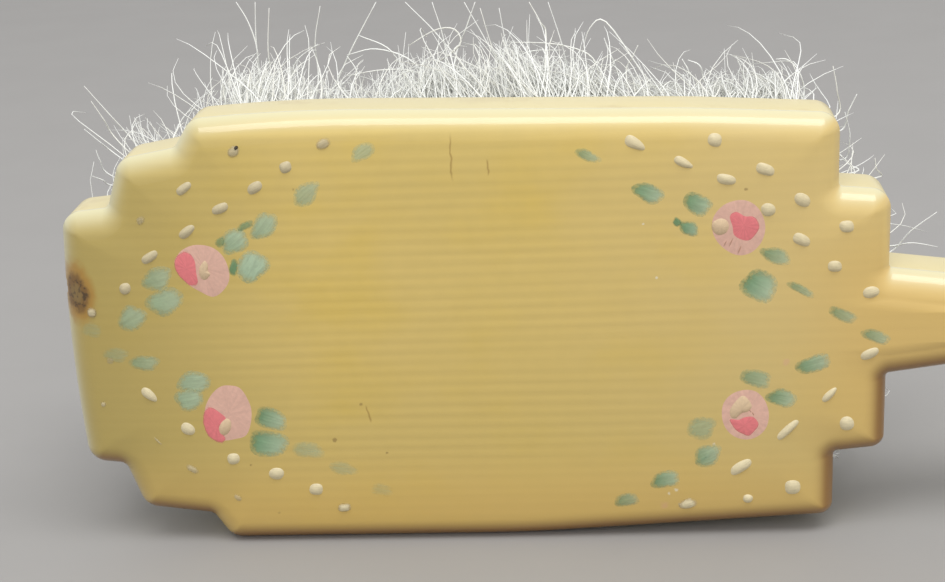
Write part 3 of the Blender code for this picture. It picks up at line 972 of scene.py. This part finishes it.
def hair_path(rng, root, tip, length, curl):
    """Points of one hair: out of its hole, bowed on its way and curved over at its tip."""
    side = tip - root
    rise = math.sqrt(max(length * length - side.length_squared, (LEAST_RISE_SHARE * length) ** 2))
    bow = disc_point(rng, curl, LENGTHWISE_SPREAD)
    hook = disc_point(rng, curl, LENGTHWISE_SPREAD)
    phase = rng.uniform(0.0, math.tau)
    turns = rng.uniform(*WAVE_TURNS)
    # Corners of a cubic curve, as steps sideways from the root
    second = side * 0.12 + bow
    third = side * 0.75 + bow * 0.5 + hook
    points = []
    for step in range(HAIR_POINTS):
        t = step / (HAIR_POINTS - 1)
        back = 1.0 - t
        flat = second * (3 * t * back**2) + third * (3 * t * t * back) + side * t**3
        wave = Vector((math.sin(phase + turns * t), math.cos(phase + turns * t))) * (WAVE_SHARE * curl * t)
        place = root + flat + wave
        y = STOCK_FACE_Y - ROOT_DEPTH + (ROOT_DEPTH + rise) * (1.05 * t - 0.05 * t**3)
        points.append((HEAD_CENTRE_X + place.x, y, above_floor(MIDDLE_Z + place.y)))
    return points


def tuft_lean(along, across):
    """The way a tuft's tips spread from its hole: outwards, and swept along the upper rows."""
    sweep, rise, _ = combed(along)
    top_row = (ROW_COUNT - 1) / 2 * ROW_PITCH
    share = across / top_row
    upper = max(share, 0.0)
    side = rise * upper if across > 0 else LOWER_LEAN * share
    end = END_LEAN * along / HEEL_X * (1.0 - upper) + sweep * upper
    return Vector((end, side))


def tuft_hairs(rng, row, along, across):
    """The hairs of one tuft, gathered in a few locks, with some strays."""
    axis = Vector((along, across))
    lean = tuft_lean(along, across)
    full = TIP_Y - STOCK_FACE_Y
    count = HAIRS_PER_TUFT[row]
    if across > ROW_PITCH:
        count = round(count * combed(along)[2])
    locks = []
    for _ in range(LOCKS_PER_TUFT):
        offset = lean * rng.uniform(*LOCK_LEANS) + disc_point(rng, LOCK_SPREAD, LENGTHWISE_SPREAD)
        locks.append((offset, rng.uniform(*LOCK_LENGTHS)))
    hairs = []
    for _ in range(count):
        offset, share = rng.choice(locks)
        root = axis + disc_point(rng, ROOT_SPREAD)
        tip = axis + offset + disc_point(rng, HAIR_SCATTER, LENGTHWISE_SPREAD)
        length = full * share * rng.uniform(*HAIR_LENGTHS)
        curl = rng.uniform(*HAIR_CURL)
        if rng.random() < STRAY_SHARES[row]:
            tip += disc_point(rng, STRAY_REACH, LENGTHWISE_SPREAD) + lean * rng.uniform(*STRAY_LEANS)
            curl = rng.uniform(*STRAY_CURL)
        if across < TOE_HALF:
            tip.x = max(tip.x, TOE_X + TOE_HAIR_MARGIN)
        hairs.append(hair_path(rng, root, tip, length, curl))
    return hairs


def curve_point(corners, t):
    """A point between the second and the third of four corners, on the smooth curve through them."""
    a, b, c, d = corners
    bend = 2 * a - 5 * b + 4 * c - d
    twist = 3 * b - a - 3 * c + d
    return (2 * b + (c - a) * t + bend * t**2 + twist * t**3) / 2


def strand_hair(places, across, pixels):
    """A single hair from the nearest tuft of its row, led through pixels of the photograph."""
    shown = [along_pixel(u, v, STRAND_Y) for u, v in pixels]
    along = min(places, key=lambda place: abs(HEAD_CENTRE_X + place - shown[0].x))
    root = Vector((HEAD_CENTRE_X + along, STOCK_FACE_Y - ROOT_DEPTH, MIDDLE_Z + across))
    corners = [root, root + Vector((0.0, STRAND_RISE, 0.0)), *shown]
    corners = [2 * corners[0] - corners[1], *corners, 2 * corners[-1] - corners[-2]]
    spans = len(corners) - 3
    points = []
    for step in range(STRAND_POINTS):
        span = min(int(step * spans / (STRAND_POINTS - 1)), spans - 1)
        point = curve_point(corners[span : span + 4], step * spans / (STRAND_POINTS - 1) - span)
        points.append((point.x, point.y, above_floor(point.z)))
    return points


def hair_section():
    """The closed curve that every hair is drawn out of."""
    curve = bpy.data.curves.new("hair_section", "CURVE")
    spline = curve.splines.new("POLY")
    spline.points.add(HAIR_SIDES - 1)
    for i, point in enumerate(spline.points):
        angle = math.tau * i / HAIR_SIDES
        point.co = (HAIR_RADIUS * math.cos(angle), HAIR_RADIUS * math.sin(angle), 0.0, 1.0)
    spline.use_cyclic_u = True
    section = bpy.data.objects.new("hair_section", curve)
    bpy.context.scene.collection.objects.link(section)
    return section


def strand_curve(name, hairs):
    """One curve object with a tapering three-sided spline for each hair."""
    curve = bpy.data.curves.new(name, "CURVE")
    curve.dimensions = "3D"
    curve.bevel_mode = "OBJECT"
    curve.bevel_object = hair_section()
    for points in hairs:
        spline = curve.splines.new("POLY")
        spline.points.add(len(points) - 1)
        spline.points.foreach_set("co", [value for point in points for value in (*point, 1.0)])
        thickness = STRAND_THICKNESS if len(points) == STRAND_POINTS else 1.0
        taper = [thickness * (1.0 - TIP_TAPER * (i / (len(points) - 1)) ** 2) for i in range(len(points))]
        spline.points.foreach_set("radius", taper)
    piece = bpy.data.objects.new(name, curve)
    bpy.context.scene.collection.objects.link(piece)
    return piece


def hair_piece(rng, name, hairs):
    """Hairs as one mesh, with each hair's own shade and the way along it kept as attributes."""
    piece = strand_curve(name, hairs)
    section = piece.data.bevel_object
    only(piece)
    bpy.ops.object.convert(target="MESH")
    piece = bpy.context.object
    bpy.data.objects.remove(section)
    shade = []
    way = []
    for points in hairs:
        shade += [rng.random()] * (len(points) * HAIR_SIDES)
        way += [i / (len(points) - 1) for i in range(len(points)) for _ in range(HAIR_SIDES)]
    for label, values in (("shade", shade), ("way", way)):
        piece.data.attributes.new(label, "FLOAT", "POINT").data.foreach_set("value", values)
    bpy.ops.object.mode_set(mode="EDIT")
    bpy.ops.mesh.select_all(action="SELECT")
    bpy.ops.mesh.fill_holes(sides=HAIR_SIDES)
    bpy.ops.object.mode_set(mode="OBJECT")
    bpy.ops.object.shade_smooth()
    return piece


def hair_finish():
    finish = Finish("white_hair", roughness=0.40)
    shade = finish.attribute("shade")
    way = finish.attribute("way")
    colour = finish.mix(finish.ease(shade, 0.5, 1.0) * 0.6, HAIR_WHITE, HAIR_CREAM)
    colour = finish.mix(finish.ease(way, 0.4, 0.0) * 0.6, colour, HAIR_CREAM)
    finish.end("Base Color", colour)
    return finish.material


def make_hair(rows):
    """Every row's hair, which stands for that row's tufts."""
    rng = random.Random(HAIR_SEED)
    material = hair_finish()
    for row, (across, places) in enumerate(rows):
        hairs = [hair for along in places for hair in tuft_hairs(rng, row, along, across)]
        hairs += [strand_hair(places, across, pixels) for pixels in STRANDS.get(row + 1, ())]
        piece = hair_piece(rng, f"hair_row_{row + 1}", hairs)
        dress(piece, material, "white_hair", f"tuft_row_{row + 1}")


# Paint, read from the photograph in its pixels; rises are in degrees, up to the right

PETAL = linear(216, 174, 156)
HEART = linear(222, 122, 125)
DULL_CREAM = linear(209, 183, 149)
MINT = linear(180, 199, 170)
GREEN = linear(92, 140, 102)
DOT_CREAMS = {
    "toe_upper": linear(194, 181, 146),
    "toe_lower": linear(210, 197, 160),
    "heel_upper": linear(208, 194, 156),
    "heel_lower": linear(214, 201, 164),
}
PETAL_SHADE = linear(170, 130, 102)
DIRT = linear(52, 44, 36)
PAINT_SINK = 0.00004
RIM_TOLERANCE = 0.001
DOT_FULLNESS = 0.86
DOT_WOBBLE = 0.018
LEAF_WOBBLE = 0.060
LEAF_GROWTH = 1.13
PAINT_SEED = 3
BEAD_HEIGHT = 0.00026
FILM_HEIGHT = 0.00005
DIRT_HEIGHT = 0.00030
DIRT_COVER = 1.5
DAB_SIDES = 24
DAB_RINGS = 12
PATCH_SIDES = 48
PATCH_RINGS = 24
# How often the brush marks change along and across a dab, and round a petal
MARKS_ALONG = 0.8
MARKS_ACROSS = 6.0
MARKS_ROUND = 4.5
PATCH_GROWTH = 1.05
MARK_SEEDS = 400.0
SIGHT_START = 0.01

# Across, down, length, width, rise, narrowing towards its right end, cover
DOTS = {
    "toe_upper": (
        (233, 152, 14, 12, 40, 0.0, 0.8),
        (322.6, 144.3, 17, 12, 25, 0.0, 0.8),
        (285.3, 167.4, 13, 12, 20, 0.0, 1.5),
        (183.4, 188.9, 18, 10, 37, 0.1, 1.5),
        (254.7, 187.7, 17, 12, 33, 0.1, 1.5),
        (220, 208.6, 18, 10.5, 25, 0.0, 1.5),
        (140, 221, 11, 9, 40, 0.0, 0.5),
        (186.7, 231.8, 19, 10.5, 38, 0.1, 1.5),
        (149.6, 257.2, 19, 10.5, 33, 0.1, 1.5),
        (125, 288.7, 12, 12, 0, 0.0, 1.5),
        (91.4, 313.2, 11, 11, 0, 0.0, 1.0),
        (110, 361, 9, 8, 0, 0.0, 0.4),
    ),
    "toe_lower": (
        (149.5, 395, 20, 12, -38, 0.45, 1.5),
        (103, 405, 6, 6, 0, 0.0, 0.6),
        (188, 429, 16, 12, -30, 0.1, 1.5),
        (158, 441, 13, 3, -45, 0.2, 0.5),
        (192.5, 469, 15, 8, -32, 0.1, 0.6),
        (233.5, 458.8, 13, 12, 0, 0.0, 1.5),
        (276.6, 473.6, 16, 12, 0, 0.0, 1.5),
        (316.2, 489.3, 14.6, 12, 0, 0.0, 1.5),
        (344.4, 507.8, 14.6, 10, 5, 0.0, 1.0),
        (237.6, 498, 10, 7, -30, 0.0, 0.5),
    ),
    "heel_upper": (
        (635, 144, 23, 15, -28, 0.45, 1.5),
        (715, 140.6, 15, 14, 0, 0.0, 1.5),
        (683.5, 162.8, 21, 11.5, -27, 0.4, 1.5),
        (726.3, 179.4, 21, 11.5, -12, 0.1, 1.5),
        (765.3, 169.5, 20, 13, -18, 0.1, 1.5),
        (768.2, 209.7, 15, 14, 0, 0.0, 1.5),
        (802.6, 200.3, 18, 14, -28, 0.1, 1.5),
        (801.6, 239.8, 19, 13, -26, 0.1, 1.5),
        (847, 226.9, 15.5, 12.5, 0, 0.0, 1.5),
        (834.9, 266.4, 15, 12, 0, 0.0, 1.5),
        (871.5, 292.9, 18, 12, 10, 0.1, 1.5),
    ),
    "heel_lower": (
        (870, 354, 21, 11, 26, 0.1, 1.5),
        (829.7, 394.6, 20, 9, 45, 0.35, 1.5),
        (788.0, 429.6, 29, 9.5, 42, 0.2, 1.5),
        (847, 424, 15, 15, 0, 0.0, 1.5),
        (741, 466.8, 25, 11.5, 31, 0.1, 1.5),
        (792.7, 487.6, 17, 15, 0, 0.0, 1.5),
        (687.5, 504.4, 21, 10, 12, -0.3, 1.0),
        (748, 499.3, 10.6, 9, 0, 0.0, 1.5),
    ),
}
# A speck of dirt that sticks to one dot: across, down, length, width, rise
DOT_DIRT = (235.5, 148.5, 5, 4, 40)

# Across, down, length, width, rise, cover, depth of green at its left end and at its right end
LEAVES = {
    "toe_upper": (
        (362.5, 152.5, 29, 17, 37, 0.55, 0.25, 0.10),
        (306, 194, 34, 21, 41, 0.62, 0.35, 0.02),
        (264, 226, 33, 24, 55, 0.80, 0.40, 0.05),
        (245, 226, 19, 9, 25, 0.60, 0.95, 0.70),
        (234.5, 241.5, 32, 25, 40, 0.85, 0.45, 0.05),
        (220.5, 242, 13, 10, 60, 0.55, 0.95, 0.80),
        (252, 266.5, 35, 33, 60, 0.95, 0.30, 0.05),
        (233.5, 267.5, 19, 9, 80, 0.80, 1.00, 0.90),
        (157, 279, 33, 25, 15, 0.68, 0.50, 0.02),
        (165, 301.5, 38, 30, 15, 0.75, 0.45, 0.05),
        (132, 318.5, 29, 28, 30, 0.68, 0.40, 0.10),
        (91, 331, 22, 16, 0, 0.30, 0.30, 0.20),
        (116, 355, 28, 15, -5, 0.36, 0.45, 0.10),
        (144.5, 363, 31, 17, -3, 0.60, 0.60, 0.10),
    ),
    "toe_lower": (
        (194, 382, 35, 23, 8, 0.80, 0.35, 0.05),
        (189.5, 399, 31, 24, 15, 0.80, 0.40, 0.05),
        (271, 419, 37, 22, -17, 0.85, 1.00, 0.02),
        (268.5, 443.5, 42, 29, -12, 0.90, 1.00, 0.10),
        (308, 450, 33, 18, -8, 0.42, 0.35, 0.02),
        (343, 468.5, 29, 15, -8, 0.36, 0.30, 0.05),
        (382, 490, 22, 14, -10, 0.26, 0.30, 0.20),
    ),
    "heel_upper": (
        (587.5, 156, 28, 12, -20, 0.62, 0.85, 0.10),
        (648.5, 193, 33, 21, -19, 0.85, 0.95, 0.10),
        (697.5, 204, 33, 22, -20, 0.85, 1.00, 0.10),
        (677, 222, 10, 9, -40, 0.80, 1.00, 0.95),
        (689, 228.5, 21, 16, -20, 0.88, 1.00, 0.30),
        (776, 256, 34, 17, -22, 0.70, 0.90, 0.05),
        (759.5, 286, 40, 33, -28, 0.88, 1.00, 0.02),
        (801, 289.5, 31, 10, -28, 0.60, 0.90, 0.15),
        (843, 315, 34, 13, -22, 0.60, 0.95, 0.10),
        (876, 336.5, 32, 14, -20, 0.66, 0.85, 0.05),
    ),
    "heel_lower": (
        (813.5, 364, 38, 19, 14, 0.80, 0.95, 0.02),
        (756, 378.5, 36, 18, -14, 0.66, 0.80, 0.15),
        (782, 398, 31, 20, -12, 0.78, 1.00, 0.02),
        (701.5, 428, 33, 23, 15, 0.52, 0.50, 0.20),
        (707.5, 455.5, 31, 22, 22, 0.78, 0.75, 0.05),
        (706, 457, 13, 3, 35, 0.50, 0.90, 0.90),
        (665.5, 479.5, 32, 18, 9, 0.80, 0.95, 0.05),
        (626.5, 500.5, 28, 14, 7, 0.62, 0.90, 0.15),
    ),
}

# Outlines of petals, heart and cream stroke of each rose, one over the other, as across and down
ROSES = {
    "toe_upper": {
        "petal": (
            (172.5, 264), (177, 252), (187, 245), (199, 243), (213, 246), (224, 255),
            (230, 268), (231, 281), (225, 292), (214, 299), (201, 294), (184, 283),
        ),
        "heart": (
            (183, 252), (176.5, 257), (174.5, 265), (178, 274), (185, 281.5),
            (191, 285.5), (198, 283.5), (197.5, 274), (196, 261), (190, 253.5),
        ),
        "cream": (
            (204.5, 260.5), (200, 266), (198.8, 272), (201, 278), (205, 280),
            (208.5, 277.5), (210.5, 274), (208.2, 270), (208, 264),
        ),
    },
    "toe_lower": {
        "petal": (
            (220, 384.5), (232, 383.5), (241, 386.5), (248, 396), (253, 409), (252.5, 424), (247.5, 437),
            (236, 441), (222, 442.5), (210, 436), (203.5, 423), (203.2, 408), (209.5, 394),
        ),
        "heart": (
            (211, 407), (204.5, 412), (203.5, 423.5), (208, 435), (215, 440.5), (222, 442.5),
            (225.5, 438.5), (220.5, 432), (220.5, 426), (227.5, 418), (222.5, 412),
        ),
        "cream": ((227, 418), (221, 422), (218.7, 429), (221, 434.5), (227, 434), (231, 428), (231, 421)),
    },
    "heel_upper": {
        "petal": (
            (738, 198), (750, 199.5), (760, 207), (766, 219), (767, 232), (762, 245), (752, 254.5),
            (739, 257.5), (726, 252.5), (715, 242), (710, 229), (712, 215), (723, 203),
        ),
        "heart": (
            (729, 215.5), (736, 211), (745, 215.2), (753, 216), (758, 221),
            (759, 229), (751, 240), (742, 241), (733, 236), (731, 227),
        ),
        "cream": (
            (720.5, 218.5), (727, 220.5), (729, 227), (725.5, 233),
            (718, 234.5), (712.5, 229.5), (713, 222.5),
        ),
    },
    "heel_lower": {
        "petal": (
            (745, 388), (757, 390), (766, 399), (770.5, 412), (769, 426), (761, 436.5),
            (748, 441.5), (734, 438.5), (724, 429), (720, 416), (722, 402), (731.5, 392),
        ),
        "heart": (
            (729.3, 419.4), (738, 418.8), (745, 415.5), (754, 415.6), (759, 424),
            (753.5, 432), (748.8, 435.6), (742, 433.5), (735, 429),
        ),
        "cream": (
            (742, 396), (748, 399), (752, 406), (748, 411.5), (742, 413),
            (736, 418), (731, 417), (730, 410), (735, 402),
        ),
    },
}
# Lines scored by the brush in two of the roses: across, down, length, width, rise
ROSE_LINES = {
    "heel_upper": ((731, 242, 12, 1.8, 66), (739.5, 249.5, 12, 1.8, 68), (725, 243.5, 9, 1.8, 60)),
    "heel_lower": ((749.5, 410, 9, 1.8, -50), (753, 413.5, 6, 1.8, -60)),
}
# Colour, height, cover and the height it is laid on, of each layer
LAYERS = {
    "petal": (PETAL, 0.00007, 1.5, 0.0),
    "heart": (HEART, 0.00005, 1.15, 0.00006),
    "cream": (DULL_CREAM, 0.00020, 1.5, 0.00006),
}
LINE_HEIGHT = 0.00003
LINE_COVER = 0.45
LINE_BASE = 0.00006


def paint_finish():
    """Enamel laid with a small brush: streaked along the stroke, thin and ragged towards its rim."""
    finish = Finish("enamel_paint", roughness=0.48)
    pigment = finish.attribute("pigment", "Color")
    cover = finish.attribute("pigment", "Alpha")
    reach = finish.attribute("reach")
    streak = finish.noise(finish.attribute("stroke", "Vector"), 1.0, 3.0, 0.6)
    mottle = finish.noise(finish.place(), 3200.0, 3.0)
    full = finish.ease(cover, 0.95, 1.25)
    light = 1.0 + (streak - 0.5) * (0.75 - full * 0.40) + (mottle - 0.5) * 0.26
    finish.end("Base Color", finish.lighten(pigment, light))
    rim = finish.ease(reach + (mottle - 0.5) * 0.50 * (1.0 - full), 1.02, 0.42 + full * 0.52)
    finish.end("Alpha", (cover * rim * finish.ease(streak + cover, 0.30, 1.0)).least(1.0))
    finish.bump(streak * 0.6 + mottle * 0.4, 0.35, 0.00008)
    return finish.material


def blend(first, second, share):
    return [a + (b - a) * share for a, b in zip(first, second)]


class Easel:
    """Lays dabs of paint on the finished back, wherever a pixel of the photograph points."""

    def __init__(self, canvas):
        self.ground = BVHTree.FromObject(canvas, bpy.context.evaluated_depsgraph_get())
        self.material = paint_finish()
        self.rng = random.Random(PAINT_SEED)

    def surface(self, spot):
        """The Y of the back's front surface behind this spot."""
        hit = self.ground.ray_cast(Vector((spot.x, FACE_Y - SIGHT_START, spot.z)), Vector((0.0, 1.0, 0.0)))[0]
        return hit.y if hit and hit.y < FACE_Y + BACK_ROUND_DEPTH else FACE_Y

    def flattened_ball(self, sides, rings, height, base, spread):
        """A ball pressed flat onto the face, with its foot just under the surface.

        Its rim stands at the base, the height of the paint under it. Spread gives the pixel, the brush
        marks and the pigment at a point of the unit disc.
        """
        bpy.ops.object.select_all(action="DESELECT")
        bpy.ops.mesh.primitive_uv_sphere_add(segments=sides, ring_count=rings, radius=1.0)
        piece = take("dab")
        reach = []
        stroke = []
        pigment = []
        for vert in piece.data.vertices:
            out = math.hypot(vert.co.x, vert.co.y)
            turn = math.atan2(vert.co.y, vert.co.x)
            pixel, marks, colour = spread(out, turn)
            spot = along_pixel(*pixel, FACE_Y)
            lift = base + height * (1.0 - out**2) if vert.co.z > -RIM_TOLERANCE else 0.0
            sink = PAINT_SINK * (out**8 if vert.co.z > -RIM_TOLERANCE else 1.0)
            vert.co = (spot.x, self.surface(spot) - lift + sink, spot.z)
            reach.append(out)
            stroke += marks
            pigment += colour
        attributes = piece.data.attributes
        attributes.new("reach", "FLOAT", "POINT").data.foreach_set("value", reach)
        attributes.new("stroke", "FLOAT_VECTOR", "POINT").data.foreach_set("vector", stroke)
        attributes.new("pigment", "FLOAT_COLOR", "POINT").data.foreach_set("color", pigment)
        bpy.ops.object.shade_smooth()
        return piece

    def dab(self, mark, height, colours, cover, narrowing=0.0, fullness=1.0, wobbles=0.0, base=0.0):
        """One oval dab, whose colour runs from its left end to its right end."""
        u, v, length, width, rise = mark
        angle = math.radians(rise)
        along = Vector((math.cos(angle), -math.sin(angle))) * (length / 2)
        across = Vector((-math.sin(angle), -math.cos(angle))) * (width / 2)
        phases = [self.rng.uniform(0.0, math.tau) for _ in range(3)]
        seed = self.rng.uniform(0.0, MARK_SEEDS)

        def spread(out, turn):
            ways = (math.cos(turn), math.sin(turn))
            x, y = [math.copysign(abs(way) ** fullness, way) * out for way in ways]
            wobble = 1.0 + sum(wobbles * math.sin((k + 2) * turn + phases[k]) for k in range(3))
            pixel = Vector((u, v)) + (along * x + across * (y * (1.0 - narrowing * (0.5 + x / 2)))) * wobble
            colour = blend(colours[0], colours[1], min(max(0.5 + x * 0.7, 0.0), 1.0))
            return pixel, (x * MARKS_ALONG, y * MARKS_ACROSS, seed), (*colour[:3], cover)

        return self.flattened_ball(DAB_SIDES, DAB_RINGS, height, base, spread)

    def patch(self, outline, colour, height, cover, base):
        """One patch of paint inside an outline, with brush marks that fan out to its rim."""
        corners = [Vector(corner) for corner in outline]
        count = len(corners)
        middle = sum(corners, Vector((0.0, 0.0))) / count
        seed = self.rng.uniform(0.0, MARK_SEEDS)

        def spread(out, turn):
            span, t = divmod(turn / math.tau % 1.0 * count, 1.0)
            around = [corners[(int(span) + k) % count] for k in (-1, 0, 1, 2)]
            pixel = middle + (curve_point(around, t) - middle) * (out * PATCH_GROWTH)
            marks = (MARKS_ROUND * math.cos(turn), MARKS_ROUND * math.sin(turn), out * MARKS_ALONG + seed)
            return pixel, marks, (*colour[:3], cover)

        return self.flattened_ball(PATCH_SIDES, PATCH_RINGS, height, base, spread)

    def finish(self, name, dabs, film):
        piece = join(dabs)
        piece.name = name
        piece.data.name = name
        # Thin see-through paint must not darken the ivory under it.
        piece.visible_shadow = not film
        dress(piece, self.material, "enamel_paint")


def make_paint(canvas):
    """Four sprays, each a rose, its leaves and the dots round them."""
    easel = Easel(canvas)
    for spray in ROSES:
        rose = []
        for layer, outline in ROSES[spray].items():
            rose.append(easel.patch(outline, *LAYERS[layer]))
        for mark in ROSE_LINES.get(spray, ()):
            rose.append(easel.dab(mark, LINE_HEIGHT, (PETAL_SHADE, PETAL_SHADE), LINE_COVER, base=LINE_BASE))
        easel.finish(f"rose_{spray}", rose, True)
        leaves = []
        for u, v, length, width, rise, cover, left, right in LEAVES[spray]:
            mark = (u, v, length * LEAF_GROWTH, width * LEAF_GROWTH, rise)
            colours = (blend(MINT, GREEN, left), blend(MINT, GREEN, right))
            leaves.append(easel.dab(mark, FILM_HEIGHT, colours, cover, wobbles=LEAF_WOBBLE))
        easel.finish(f"leaves_{spray}", leaves, True)
        dots = []
        for *mark, narrowing, cover in DOTS[spray]:
            height = BEAD_HEIGHT * min(cover, 1.0)
            creams = [DOT_CREAMS[spray]] * 2
            dots.append(easel.dab(mark, height, creams, cover, narrowing, DOT_FULLNESS, DOT_WOBBLE))
        if spray == "toe_upper":
            dots.append(easel.dab(DOT_DIRT, DIRT_HEIGHT, (DIRT, DIRT), DIRT_COVER))
        easel.finish(f"dots_{spray}", dots, False)


# Wires

BRASS = linear(214, 178, 96)
BRASS_TARNISHED = linear(140, 98, 48)


def wire_finish():
    finish = Finish("brass_wire", metallic=1.0)
    place = finish.place()
    tarnish = finish.noise(finish.stretch(place, (200.0, 900.0, 900.0)), 1.0, 4.0)
    colour = finish.mix(finish.ease(tarnish, 0.4, 0.7), BRASS, BRASS_TARNISHED)
    finish.end("Base Color", colour)
    finish.end("Roughness", 0.25 + tarnish * 0.3)
    finish.bump(tarnish, 0.15, 0.00005)
    return finish.material


def dress_wires():
    """The drawing wires keep their solids and get a drawn brass finish."""
    material = wire_finish()
    for name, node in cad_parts.items():
        if name.startswith("draw_wire"):
            node.data.materials.clear()
            node.data.materials.append(material)


# Stage

FLOOR_SIZE = 6.0
FLOOR_GREY = linear(154, 152, 150)
FLOOR_SPECK = linear(159, 157, 155)
SKY_STRENGTH = 0.78
KEY_POWER = 2.3
KEY_SIZE = (0.60, 0.24)
KEY_PLACE = Vector((0.02, FACE_Y - 0.20, 0.58))
FILL_POWER = 2.6
FILL_SIZE = (0.8, 0.8)
FILL_PLACE = Vector((0.25, -1.15, 0.75))


def floor_finish():
    finish = Finish("pale_floor", roughness=0.8)
    place = finish.place()
    speck = finish.noise(place, 60.0, 3.0)
    finish.end("Base Color", finish.mix(speck, FLOOR_GREY, FLOOR_SPECK))
    return finish.material


def softbox(name, place, size, power):
    """A soft rectangular light that shines at the head."""
    light = bpy.data.lights.new(name, "AREA")
    light.shape = "RECTANGLE"
    light.size, light.size_y = size
    light.energy = power
    lamp = bpy.data.objects.new(name, light)
    bpy.context.scene.collection.objects.link(lamp)
    lamp.location = place
    lamp.rotation_euler = (place - HEAD_CENTRE).to_track_quat("Z", "Y").to_euler()
    return lamp


def make_stage():
    bpy.ops.object.select_all(action="DESELECT")
    bpy.ops.mesh.primitive_plane_add(size=FLOOR_SIZE)
    floor = take("pale_floor")
    floor.data.materials.append(floor_finish())
    softbox("overhead_softbox", KEY_PLACE, KEY_SIZE, KEY_POWER)
    front = softbox("front_softbox", FILL_PLACE, FILL_SIZE, FILL_POWER)
    front.visible_glossy = False
    world = bpy.data.worlds.new("soft_room")
    world.use_nodes = True
    sky = world.node_tree.nodes["Background"]
    sky.inputs["Color"].default_value = (1.0, 1.0, 1.0, 1.0)
    sky.inputs["Strength"].default_value = SKY_STRENGTH
    bpy.context.scene.world = world
    bpy.context.scene.view_settings.view_transform = "Standard"


def main():
    rows = tuft_rows()
    add_camera()
    make_stage()
    back = make_back()
    make_stock(rows)
    make_hair(rows)
    make_paint(back)
    dress_wires()


main()
